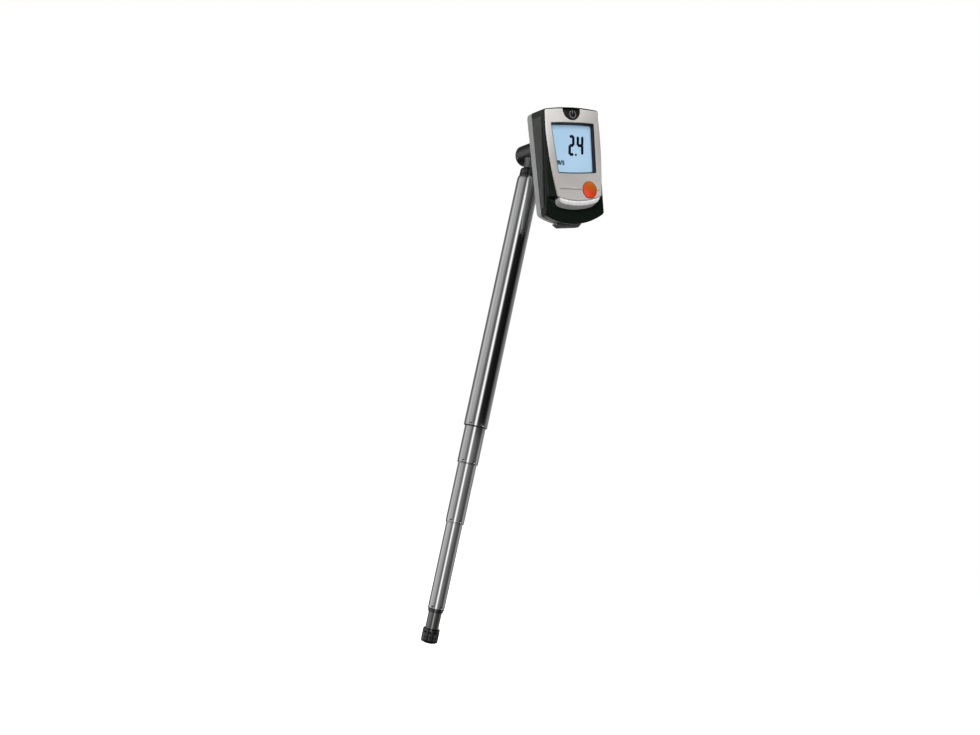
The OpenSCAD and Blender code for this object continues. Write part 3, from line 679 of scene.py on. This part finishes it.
def cablePart(name, upper, lower, top, bottom, turns):
    # spare turns: x = R cos(2 pi n t), y = R sin(2 pi n t), with R eased to nothing at both ends
    t = np.linspace(0, 1, cableLook["turnPoints"] * turns)
    ease = np.clip(np.minimum(t, 1 - t) / cableLook["ease"], 0, 1)
    reach = cableLook["coilR"] * ease * ease * (3 - 2 * ease)
    turn = 2 * np.pi * turns * t
    path = np.stack([reach * np.cos(turn), reach * np.sin(turn), top + (bottom - top) * t], -1)
    piece = makePiece(wireShape(path), name, None, "cable_jacket", (), 60)
    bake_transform(piece)


cableLead()
for cableRow in cableRows:
    cablePart(*cableRow)
print("cable made")

# tip sleeve
sleeveLook = {"bore": 4.42, "grooves": 10, "depth": 0.75, "grooveHalf": 0.30, "bottomRound": 2.3,
              "topRound": 0.9, "edge": 0.2, "rows": 10, "rowsFrom": 2.6, "rowsTo": 1.6,
              "fadeBelowTop": 2.2, "fade": 0.5, "skin": 1.6, "columns": 240}


def sleevePiece():
    # cap of the probe's tip: a rounded ring whose radius dips in even grooves that run out at the
    # top; across a groove the dip is depth * sqrt(1 - (distance / half width)^2)
    low, high = boxOf("sensor_sleeve")
    r, bottom, top = high[0], low[2], high[2]
    bore, edge, rowsFrom = sleeveLook["bore"], sleeveLook["edge"], sleeveLook["rowsFrom"]
    a = np.linspace(0, 2 * np.pi, sleeveLook["columns"], endpoint=False)
    phase = (a / (2 * np.pi) * sleeveLook["grooves"]) % 1.0 - 0.5
    dip = np.clip(1 - (np.abs(phase) / sleeveLook["grooveHalf"]) ** 2, 0, 1) ** 0.5
    corners = [(bore, bottom), (r, bottom), (r, top), (bore, top)]
    soft = [edge, sleeveLook["bottomRound"], sleeveLook["topRound"], edge]
    profile = softProfile(corners, soft, closed=True)
    span = top - bottom - rowsFrom - sleeveLook["rowsTo"]
    heights = np.linspace(0, 1, sleeveLook["rows"] + 2)[1:-1]
    wallAt = np.array([[r, bottom + rowsFrom + span * t] for t in heights])
    upperSide = (profile[:, 0] > r - 1e-6) & (profile[:, 1] > (bottom + top) / 2)
    outerEnd = int(np.argmax(upperSide))
    profile = np.concatenate([profile[:outerEnd], wallAt, profile[outerEnd:]])
    radius, height = profile[:, :1], profile[:, 1:]
    fade = np.clip((top - sleeveLook["fadeBelowTop"] - height) / sleeveLook["fade"], 0, 1)
    fade = fade * (radius > r - sleeveLook["skin"])
    reach = radius - sleeveLook["depth"] * dip[None, :] * fade
    loops = np.stack([reach * np.cos(a), reach * np.sin(a), np.broadcast_to(height, reach.shape)], -1)
    shape = newShape()
    addSkin(shape, np.concatenate([loops, loops[:1]]))
    makePiece(shape, "sensorSleeve", "sleeve", "sleeve_black", ("sensor_sleeve",), 40)


sleevePiece()

# collar and barrel
collarLook = {"plug": 7.5, "r": 7.1, "groove": (1.0, 1.5), "grooveDeep": 0.18, "grooveEase": 0.15,
              "neck": 5.2, "seat": 1.5, "bore": 2.4, "round": 1.5}


def collarPiece():
    # a plug in the tube and a ring with one fine groove above it, turned about the tube's axis
    low, high = boxOf("tube_collar")
    floor, top = low[2], high[2]
    plug, r, bore, neck, seat = (collarLook[k] for k in ("plug", "r", "bore", "neck", "seat"))
    inside, ease = r - collarLook["grooveDeep"], collarLook["grooveEase"]
    grooveLow, grooveHigh = collarLook["groove"]
    corners = [
        (bore, floor), (plug, floor), (plug, -0.02), (r, 0.0), (r, grooveLow),
        (inside, grooveLow + ease), (inside, grooveHigh - ease), (r, grooveHigh), (r, top),
        (neck, top), (neck, seat), (bore, seat),
    ]
    soft = [0.1, 0.2, 0.02, 0.05, 0.1, 0.05, 0.05, 0.1, collarLook["round"], 0.15, 0.1, 0.1]
    profile = softProfile(corners, soft, closed=True)
    turnedPiece("tubeCollar", profile, mats["collar_gloss"], ("tube_collar",))


barrelLook = {"bore": 5.2, "cableBore": 2.4, "foot": 1.5, "into": 1.5, "flare": 0.9, "flareFrom": 0.55}


def barrelPiece():
    # barrel tube with its bore open towards the head; the neck below it joins the collar
    low, high = boxOf("hinge_barrel")
    r, bore, foot = high[0], barrelLook["bore"], barrelLook["foot"]
    corners = [(bore, low[1]), (r, low[1]), (r, high[1]), (bore, high[1])]
    profile = softProfile(corners, [0.2, 0.5, 0.08, 0.08], closed=True)
    shape = newShape()
    loops = turned(profile, "y", (0, 0, headPivot[2]))
    addSkin(shape, np.concatenate([loops, loops[:1]]))
    # neck: a wall from the collar up into the barrel's skin, flared by a square law at its top
    t = np.linspace(0, 1, 10)
    neckTop = headPivot[2] - r + barrelLook["into"]
    flareFrom = barrelLook["flareFrom"]
    flare = barrelLook["flare"] * np.clip((t - flareFrom) / (1 - flareFrom), 0, 1) ** 2
    outer = np.stack([bore + flare, foot + (neckTop - foot) * t], -1)
    inner = np.array([(barrelLook["cableBore"], neckTop), (barrelLook["cableBore"], foot)])
    neck = turned(np.concatenate([outer, inner]))
    addSkin(shape, np.concatenate([neck, neck[:1]]))
    makePiece(shape, "hingeBarrel", "handle", "black_barrel", ("hinge_barrel",))


capLook = {"plug": 5.2, "rim": 1.2, "step": 0.12, "crownR": 4.6, "crownLow": 0.05, "edgeLow": 0.35}


def barrelCapPiece():
    # domed end cap with a fine step at its rim
    low, high = boxOf("barrel_cap")
    r, y0, y1 = high[0], low[1], high[1]
    plug, step, face = capLook["plug"], capLook["step"], y1 - capLook["rim"]
    corners = [
        (0, y0), (plug, y0), (plug, face), (r - step, face), (r - step, face + step),
        (r, face + step + 0.04), (r, y1 - capLook["edgeLow"]),
        (capLook["crownR"], y1 - capLook["crownLow"]), (0, y1),
    ]
    profile = softProfile(corners, [0, 0.3, 0.05, 0.02, 0.02, 0.04, 0.8, 0.8, 0])
    turnedPiece("barrelCap", profile, mats["black_barrel"], ("barrel_cap",),
                "y", (0, 0, headPivot[2]), ring=False)


collarPiece()
barrelPiece()
barrelCapPiece()
print("collar and barrel cap made")

# head: front shell
buttonPlace = {"mode": (8.2, -33.4), "modeHole": 5.7, "powerV": 18.6, "powerHole": 6.85,
               "powerFlat": 18.4}


def circleLoop(centre, r, n=72):
    return arcPoints(centre[0], centre[1], r, 0, 360, n)[:-1]


def frontShellPiece():
    # dark shell lofted from the parting line over the ridge and up the raised middle; between two
    # outlines the skin is start + (end - start) * t, and the number pairs are (inset, height)
    wall, faceZ, low = headSize["wall"], -headSize["faceThick"], headSize["partW"] + 0.2
    lowZ = faceZ - headSize["plateThick"]
    start = level(partLine(0), low)
    ridge = onRidge(level(ridgeLine(0), -0.9))
    ridgeRound = ((0.06, -0.5), (0.22, -0.2), (0.5, -0.04), (0.75, 0.0))
    foot, face = onRidge(level(footLine(0), 0)), onFace(level(faceLine(0), faceZ))
    outer = [level(partLine(0.15), low)]
    outer += [start + (ridge - start) * t for t in np.linspace(0.012, 1, 10)]
    outer += [onRidge(level(ridgeLine(d), z)) for d, z in ridgeRound]
    outer += [onRidge(level(footLine(-0.12), 0))]
    outer += [foot + (face - foot) * t for t in (0.04, 0.3, 0.6, 0.9, 1.0)]
    inner = [
        level(partLine(wall), low), onRidge(level(ridgeLine(wall), -wall)),
        onRidge(level(footLine(wall), -wall)), onFace(level(faceLine(wall), lowZ)),
    ]
    outer, inner = [placeBack(p) for p in outer], [placeBack(p) for p in inner]
    holes = [
        windowLine(), circleLoop(buttonPlace["mode"], buttonPlace["modeHole"]),
        halfRound(buttonPlace["powerHole"], buttonPlace["powerFlat"], buttonPlace["powerV"]),
    ]
    topHoles, lowHoles = ([faceLoop(h, z) for h in holes] for z in (faceZ, lowZ))
    shape = newShape()
    addSkin(shape, outer)
    addPlate(shape, [outer[-1]] + topHoles)
    for a, b in zip(topHoles, lowHoles):
        addSkin(shape, [a, b])
    addPlate(shape, [inner[-1]] + lowHoles)
    addSkin(shape, inner[::-1])
    addSkin(shape, [inner[0], outer[0]])
    makePiece(shape, "frontShell", "head", "shell_dark", ("front_shell",))


frontShellPiece()
print("front shell made")

# fascia, trim
grooveLook = {"wide": 0.50, "deep": 1.0,
              "spans": [((-15.2, 1.6), (-32.4, -33.1)), ((14.6, 16.3), (-33.6, -33.7))]}


def fasciaPiece():
    # silver plate with a soft front edge, a bevelled window and a half-round notch for the power
    # button; the number pairs are (inset or growth, height)
    thick, hole = headSize["faceThick"], buttonPlace["modeHole"]
    notchV, notchR = buttonPlace["powerV"], buttonPlace["powerHole"]
    edgeSteps = ((0, -thick), (0, -0.45), (0.06, -0.2), (0.2, -0.06), (0.42, 0))
    windowSteps = ((-0.5, 0), (-0.25, -0.06), (-0.06, -0.22), (0, -0.5), (0, -thick))
    buttonSteps = ((0.35, 0), (0.12, -0.05), (0.0, -0.2), (0.0, -thick))
    rims = [[(faceLine(d, (notchV, notchR + d)), z) for d, z in edgeSteps],
            [(windowLine(d), z) for d, z in windowSteps],
            [(circleLoop(buttonPlace["mode"], hole + d), z) for d, z in buttonSteps]]
    outer, window, button = ([faceLoop(loop, z) for loop, z in rim] for rim in rims)
    shape = newShape()
    addSkin(shape, outer)
    addSkin(shape, window)
    addSkin(shape, button)
    grooves = []
    half = grooveLook["wide"] / 2
    for (u0, u1), (v0, v1) in grooveLook["spans"]:
        flat = np.array([(u0, v0 - half), (u1, v1 - half), (u1, v1 + half), (u0, v0 + half)])
        mouth, floor = (faceLoop(flat, z) for z in (0, -grooveLook["deep"]))
        grooves.append(mouth)
        addSkin(shape, [floor, mouth])
        addPlate(shape, [floor])
    addPlate(shape, [outer[-1], window[0], button[0]] + grooves)
    addPlate(shape, [outer[0], window[-1], button[-1]])
    makePiece(shape, "fasciaPlate", "head", "fascia_silver", ("fascia_plate",))


fasciaPiece()

frameLook = {"top": -0.32, "topLap": 0.4, "lowLap": 1.2}


def windowFramePiece():
    # dark frame whose inner wall slopes in from the fascia's opening to the pane
    low = -headSize["faceThick"] - headSize["plateThick"]
    top, near, wide = frameLook["top"], frameLook["topLap"], frameLook["lowLap"]
    rows = [(0.0, low), (0.0, top - 0.1), (0.05, top), (near - 0.1, top), (near, top - 0.08),
            (wide, low + 0.12), (wide, low)]
    loops = [faceLoop(windowLine(d + 0.02), z) for d, z in rows]
    shape = newShape()
    addSkin(shape, loops + loops[:1])
    makePiece(shape, "windowFrame", "head", "frame_black", ("window_frame",))


windowFramePiece()

trimLook = {
    "reach": 17.6, "columns": 96, "arc": 53.6, "top": -40.24,
    "corners": [(0.2, -5.6), (0.2, -0.5), (0.4, -0.2), (1.3, -0.35), (3.0, -1.35), (4.7, -5.9),
                (4.7, -6.3), (0.2, -6.3)],
    "soft": [0.02, 0.1, 0.15, 0.3, 0.35, 0.1, 0.02, 0.02],
}


def trimPiece():
    # crescent under the fascia: a bar along an arc, with a bright bevel, a rolled edge and a
    # steep lower wall. Its section narrows to nothing at both ends as (1 - t^14)^0.4
    t = np.linspace(-1, 1, trimLook["columns"])
    section = softProfile(trimLook["corners"], trimLook["soft"], closed=True)
    squeeze = (1 - t ** 14) ** 0.4
    sweep = np.radians(trimLook["reach"] * t)
    x = trimLook["arc"] * np.sin(sweep)
    arcY = trimLook["top"] + trimLook["arc"] * (1 - np.cos(sweep))
    drop, z = section[None, :, 0], section[None, :, 1]
    loops = np.stack([
        np.broadcast_to(x[:, None], (len(t), len(section))),
        arcY[:, None] - drop * squeeze[:, None],
        np.broadcast_to(z, (len(t), len(section))),
    ], -1)
    shape = newShape()
    placed = placeBack(onFace(loops))
    addSkin(shape, placed)
    addFan(shape, placed[0], placed[0].mean(0))
    addFan(shape, placed[-1], placed[-1].mean(0))
    makePiece(shape, "crescentTrim", "head", "trim_chrome", ("crescent_trim",), 35)


trimPiece()
print("fascia and trim made")

# display
digitLook = {
    "wideTwo": 4.8, "wideFour": 5.5, "tall": 13.6, "bar": 1.9, "gap": 0.08, "taper": 0.36,
    "slant": 0.13, "base": (-3.3, -10.5), "pitch": 6.5, "point": (2.0, -10.4), "pointSide": 1.3,
    "glassZ": -3.9, "ink": 0.12,
}
unitLook = {"left": -12.4, "low": -16.2, "tall": 2.6, "archR": 0.55, "archStep": 1.15,
            "stroke": 0.75, "slash": 0.7, "curl": 0.72}
litSegments = {"two": "abged", "four": "fgbc"}


def barShape(a, b, width, taper):
    # flat bar from a to b with pointed ends
    along = (b - a) / np.linalg.norm(b - a)
    across = np.array([-along[1], along[0]]) * width / 2
    near, far = a + along * taper, b - along * taper
    return np.array([a, near + across, far + across, b, far - across, near - across])


def digitBars(x0, y0, w, lit):
    # bars of one seven-segment digit, lettered a to g from the top round to the middle
    h, bar = digitLook["tall"], digitLook["bar"]
    i = bar / 2
    spots = {
        "a": ((i, h - i), (w - i, h - i)), "b": ((w - i, h - i), (w - i, h / 2)),
        "c": ((w - i, h / 2), (w - i, i)), "d": ((i, i), (w - i, i)), "e": ((i, i), (i, h / 2)),
        "f": ((i, h / 2), (i, h - i)), "g": ((i, h / 2), (w - i, h / 2)),
    }
    bars = []
    for key in lit:
        a, b = (np.array(p) for p in spots[key])
        reach = (b - a) / np.linalg.norm(b - a) * digitLook["gap"] * 3
        bars.append(barShape(a - reach, b + reach, bar, bar * digitLook["taper"]) + (x0, y0))
    return bars


def strokeLoop(path, width):
    # a flat ribbon along an open path
    path = np.asarray(path, float)
    step = np.gradient(path, axis=0)
    step /= np.linalg.norm(step, axis=1)[:, None]
    across = np.stack([-step[:, 1], step[:, 0]], -1) * width / 2
    return np.concatenate([path + across, (path - across)[::-1]])


def archStroke(x):
    # one arch of the unit's m: up, over a half circle and down
    low, crown, r = unitLook["low"], unitLook["low"] + unitLook["tall"] - 0.8, unitLook["archR"]
    path = np.concatenate([[(x, low)], arcPoints(x + r, crown, r, 180, 0, 8), [(x + 2 * r, low)]])
    return strokeLoop(path, unitLook["stroke"])


def unitStrokes():
    # m, slash and s, each a ribbon along its own path
    left, low, top = unitLook["left"], unitLook["low"], unitLook["low"] + unitLook["tall"]
    curl = np.concatenate([arcPoints(left + 5.1, low + 1.75, 0.55, 30, 250, 10),
                           arcPoints(left + 5.0, low + 0.62, 0.6, 70, -150, 10)])
    return [
        strokeLoop([(left, low), (left, top)], unitLook["stroke"]),
        archStroke(left), archStroke(left + unitLook["archStep"]),
        strokeLoop([(left + 2.9, low - 0.1), (left + 3.9, top + 0.3)], unitLook["slash"]),
        strokeLoop(curl, unitLook["curl"]),
    ]


def segmentsPiece():
    # flat ink on the display, slanted by slant * height above the digits' foot
    x0, y0 = digitLook["base"]
    flats = digitBars(x0, y0, digitLook["wideTwo"], litSegments["two"])
    flats += digitBars(x0 + digitLook["pitch"], y0, digitLook["wideFour"], litSegments["four"])
    (px, py), side = digitLook["point"], digitLook["pointSide"]
    flats.append(np.array([(px, py), (px + side, py), (px + side, py + side), (px, py + side)]))
    shape = newShape()
    z = digitLook["glassZ"]
    for flat in flats + unitStrokes():
        flat = flat + np.stack([digitLook["slant"] * (flat[:, 1] - y0), np.zeros(len(flat))], -1)
        top, bottom = (faceLoop(flat, z + up) for up in (digitLook["ink"], 0.005))
        addSlab(shape, bottom, top)
    makePiece(shape, "displaySegments", "head", "segment_ink", ("display_segments",))


segmentsPiece()


def panePiece():
    # clear plate behind the frame, its outline set back a little at both faces
    z = -headSize["faceThick"] - headSize["plateThick"]
    steps = ((-0.6, z - 0.8), (-0.8, z - 0.65), (-0.8, z - 0.15), (-0.6, z - 0.01))
    rows = [faceLoop(windowLine(d), h) for d, h in steps]
    shape = newShape()
    addSkin(shape, rows)
    addPlate(shape, [rows[0]])
    addPlate(shape, [rows[-1]])
    makePiece(shape, "windowPane", "head", "pane_clear", ("window_pane",))


panePiece()
print("display made")

# buttons
modeLook = {"r": 5.5, "rim": 0.45, "rimZ": 0.35, "rimHigh": 0.3, "domeHigh": 0.85, "domePower": 2.2,
            "flange": 0.7, "flangeZ": (-3.5, -2.9), "stemR": 1.5, "stemZ": -4.1, "columns": 96}


def modeButtonPiece():
    # domed round button on a flange and a stem: the dome is high * (1 - (radius / edge)^2.2)
    r, rim, rimZ, rimHigh = (modeLook[k] for k in ("r", "rim", "rimZ", "rimHigh"))
    stem, low, wide = modeLook["stemR"], modeLook["stemZ"], modeLook["r"] + modeLook["flange"]
    flangeLow, flangeTop = modeLook["flangeZ"]
    corners = [(0, low), (stem, low), (stem, flangeLow), (wide, flangeLow), (wide, flangeTop),
               (r, flangeTop), (r, rimZ)]
    side = softProfile(corners, [0, 0.1, 0.1, 0.15, 0.1, 0.1, 0])
    a = np.radians(np.linspace(0, 90, 18))
    edge = np.stack([r - rim + rim * np.cos(a), rimZ + rimHigh * np.sin(a)], -1)
    q = np.linspace(1, 0, 22)[1:]
    rise = modeLook["domeHigh"] * (1 - q ** modeLook["domePower"])
    dome = np.stack([(r - rim) * q, rimZ + rimHigh + rise], -1)
    profile = np.concatenate([side[:-1], edge, dome])
    loops = turned(profile, centre=(*buttonPlace["mode"], 0), columns=modeLook["columns"])
    shape = newShape()
    addSkin(shape, placeBack(onFace(loops)))
    centre = placeBack(onFace(np.array([[*buttonPlace["mode"], 0.0]])))[0]
    makePiece(shape, "modeButton", "mode_button", "button_orange", ("mode_button",), 40,
              orangeWithPaintedShade(centre))


powerLook = {
    "r": 6.65, "flat": 18.2, "centreV": 18.6, "middle": (0.0, 15.0), "points": 96,
    "flange": 0.5, "flangeZ": (-3.5, -2.9), "stemR": 1.5, "stemV": 14.6, "stemZ": (-4.1, -3.4),
    "rise": ((1, -2.9), (1, 0.1), (0.985, 0.28), (0.95, 0.42), (0.9, 0.5), (0.7, 0.66),
             (0.45, 0.8), (0.2, 0.87), (0.02, 0.89)),
    "top": 0.9,
}


def powerButtonPiece():
    # half-round button: its outline shrinks towards its middle while the surface domes up
    flat, centreV, middle = powerLook["flat"], powerLook["centreV"], np.array(powerLook["middle"])
    base, under = (resampled(halfRound(powerLook["r"] + grow, flat, centreV), powerLook["points"])
                   for grow in (0, powerLook["flange"]))
    rows = [level(under, z) for z in powerLook["flangeZ"]]
    rows += [level(middle + (base - middle) * k, z) for k, z in powerLook["rise"]]
    shape = newShape()
    placed = [placeBack(onFace(p)) for p in rows]
    addSkin(shape, placed)
    addFan(shape, placed[-1], placeBack(onFace(np.array([[*middle, powerLook["top"]]])))[0])
    addPlate(shape, [placed[0]])
    stemR, (stemLow, stemTop) = powerLook["stemR"], powerLook["stemZ"]
    outline = np.array([(0.001, stemLow), (stemR, stemLow), (stemR, stemTop), (0.001, stemTop)])
    addSkin(shape, placeBack(onFace(turned(outline, centre=(0, powerLook["stemV"], 0), columns=32))))
    makePiece(shape, "powerButton", "power_button", "button_black", ("power_button",), 40)


modeButtonPiece()
powerButtonPiece()

symbolLook = {"centre": (0.0, 15.3), "radius": 2.35, "wide": 0.5, "thick": 0.25, "domeTop": 0.93,
              "domeFall": 0.30, "domeR": 4.2}
symbolGrey = finish((0.30, 0.29, 0.30), 0.35, 2600, 0.05, metal=0.3)


def powerSymbolPiece():
    # open ring and a bar, a thin inlay that follows the button's dome: top - fall * (far / R)^2
    (cx, cy), r, wide = (symbolLook[k] for k in ("centre", "radius", "wide"))
    ring = strokeLoop(arcPoints(cx, cy, r, 125, 415, 60), wide)
    bar = strokeLoop([(cx, cy + 0.4), (cx, cy + r + 0.35)], wide)
    shape = newShape()
    for flat in (ring, bar):
        far = np.linalg.norm(flat - (cx, cy), axis=1)
        dome = symbolLook["domeTop"] - symbolLook["domeFall"] * (far / symbolLook["domeR"]) ** 2
        top, bottom = (placeBack(onFace(np.column_stack([flat, dome - drop])))
                       for drop in (0, symbolLook["thick"]))
        addSlab(shape, bottom, top)
    makePiece(shape, "powerSymbol", "power_button", "button_black",
              material=grainMaterial("symbol_grey", symbolGrey))


powerSymbolPiece()
print("buttons made")

# finishes of the carried-over nodes
slotOf = {s["node"]: s["material_slot"] for s in frame["record"]["subparts"]}
for name, node in frame["nodes"].items():
    if node.hide_render:
        continue
    node.data.materials.clear()
    node.data.materials.append(mats[slotOf[name]])

# floor, light and camera
scene = bpy.context.scene
scene.view_settings.view_transform = "Standard"
stageLook = {"floorZ": -0.345, "floorHalf": 8.0, "white": (0.93, 0.93, 0.93), "lift": 1.0}


def pageFloor():
    # a wide pale floor that shows in the view but isn't mirrored in the object
    half, z = stageLook["floorHalf"], stageLook["floorZ"]
    mesh = bpy.data.meshes.new("floor")
    mesh.from_pydata([(-half, -half, z), (half, -half, z), (half, half, z), (-half, half, z)], [],
                     [(0, 1, 2, 3)])
    material, tree, shader = nodesOf("floorPale")
    setInputs(shader, {"Base Color": (*stageLook["white"], 1), "Roughness": 0.8, "Specular IOR Level": 0.1,
                       "Emission Color": (1, 1, 1, 1), "Emission Strength": stageLook["lift"]})
    mesh.materials.append(material)
    floor = bpy.data.objects.new("floor", mesh)
    scene.collection.objects.link(floor)
    floor.visible_glossy = False
    floor.visible_diffuse = False


pageFloor()

# the room round the object, by bearing from the viewer (0 behind the viewer, right positive):
# soft boxes are bright, black flags dark. Above the table line the right side is flagged off.
cameraBearing = 29.9
roomAbove = [
    (-180, 0.60), (-137, 0.16), (-119, 0.18), (-106, 0.66), (-90, 0.76), (-78, 0.52), (-60, 0.58),
    (-42, 0.34), (-30, 0.16), (-19, 0.13), (-8, 1.25), (0, 1.75), (7, 0.70), (14, 0.10), (22, 0.02),
    (70, 0.006), (84, 0.02), (104, 0.18), (130, 0.30), (180, 0.60),
]
roomBelow = [
    (-180, 0.60), (-137, 0.16), (-119, 0.18), (-106, 0.66), (-90, 0.74), (-78, 0.52), (-60, 0.56),
    (-42, 0.34), (-30, 0.20), (-19, 0.20), (-8, 1.25), (0, 1.75), (7, 0.75), (16, 0.30), (40, 0.18),
    (72, 0.08), (88, 0.12), (102, 0.42), (122, 0.40), (145, 0.12), (180, 0.60),
]


def roomWorld():
    world = bpy.data.worlds.new("studio")
    scene.world = world
    world.use_nodes = True
    tree = world.node_tree
    back = tree.nodes["Background"]
    coords = addNode(tree, "ShaderNodeTexCoord")
    turn = addNode(tree, "ShaderNodeMapping")
    setInputs(turn, {"Rotation": (0, 0, math.radians(cameraBearing))})
    feed(turn, "Vector", coords.outputs["Generated"])
    split = splitOf(tree, turn.outputs["Vector"])
    flip = addNode(tree, "ShaderNodeMath", operation="MULTIPLY")
    flip.inputs[1].default_value = -1
    feed(flip, 0, split["Y"])
    bearing = addNode(tree, "ShaderNodeMath", operation="ARCTAN2")
    feed(bearing, 0, split["X"])
    feed(bearing, 1, flip.outputs[0])
    place = rangeOf(tree, bearing.outputs[0], 0, 1, -math.pi, math.pi)
    above, below = (
        rampOf(tree, place, [((side + 180) / 360, (bright,) * 3) for side, bright in room])
        for room in (roomAbove, roomBelow)
    )
    mix = addNode(tree, "ShaderNodeMixRGB")
    feed(mix, "Fac", rangeOf(tree, split["Z"], 0, 1, 0.035, 0.055))
    feed(mix, "Color1", below)
    feed(mix, "Color2", above)
    # the ceiling and the ground fall off to dark
    height = rangeOf(tree, split["Z"], 0, 1, -1, 1)
    fade = rampOf(tree, height, [(0.0, (0.12, 0.12, 0.12)), (0.3, (0.16, 0.16, 0.16)), (0.4, (1, 1, 1)),
                                 (0.64, (1, 1, 1)), (0.8, (0.14, 0.14, 0.14))])
    path = addNode(tree, "ShaderNodeLightPath")
    seen = addNode(tree, "ShaderNodeMixRGB")
    setInputs(seen, {"Color2": (1.0, 1.0, 1.0, 1)})
    feed(seen, "Color1", productOf(tree, mix.outputs["Color"], fade))
    feed(seen, "Fac", path.outputs["Is Camera Ray"])
    feed(back, "Color", seen.outputs["Color"])
    setInputs(back, {"Strength": 1.0})


roomWorld()
lampLook = {
    "keySoft": {"place": (-0.85, -1.15, 0.55), "size": (0.6, 0.8), "power": 17},
    "frontFill": {"place": (0.35, -1.5, -0.1), "size": (0.8, 0.8), "power": 9},
    "lowBack": {"place": (-0.45, 0.75, -0.26), "size": (0.45, 0.16), "power": 14},
}


def areaLight(name, look):
    data = bpy.data.lights.new(name, "AREA")
    data.shape = "RECTANGLE"
    data.size, data.size_y = look["size"]
    data.energy = look["power"]
    lamp = bpy.data.objects.new(name, data)
    scene.collection.objects.link(lamp)
    lamp.location = look["place"]
    aim = Vector((0.01, -0.03, 0.0)) - Vector(look["place"])
    lamp.rotation_euler = aim.to_track_quat("-Z", "Y").to_euler()
    lamp.visible_camera = False
    lamp.visible_glossy = False


for lampName, look in lampLook.items():
    areaLight(lampName, look)

cameraLook = {"azimuth": cameraBearing, "elevation": -6.8, "roll": 12.2, "distance": 0.620,
              "target": (0.0100, 0.0150, -0.1313), "lens": 33.0}


def makeCamera(look):
    a, e, q = (math.radians(look[k]) for k in ("azimuth", "elevation", "roll"))
    ahead = Vector((math.sin(a) * math.cos(e), math.cos(a) * math.cos(e), -math.sin(e)))
    right = Vector((math.cos(a), -math.sin(a), 0))
    up = Vector((math.sin(a) * math.sin(e), math.cos(a) * math.sin(e), math.cos(e)))
    turnedRight = right * math.cos(q) + up * math.sin(q)
    turnedUp = up * math.cos(q) - right * math.sin(q)
    data = bpy.data.cameras.new("camera")
    data.lens = look["lens"]
    camera = bpy.data.objects.new("camera", data)
    scene.collection.objects.link(camera)
    axes = Matrix((turnedRight, turnedUp, -ahead)).transposed().to_4x4()
    axes.translation = Vector(look["target"]) - ahead * look["distance"]
    camera.matrix_world = axes
    scene.camera = camera


makeCamera(cameraLook)
print("camera and light set")
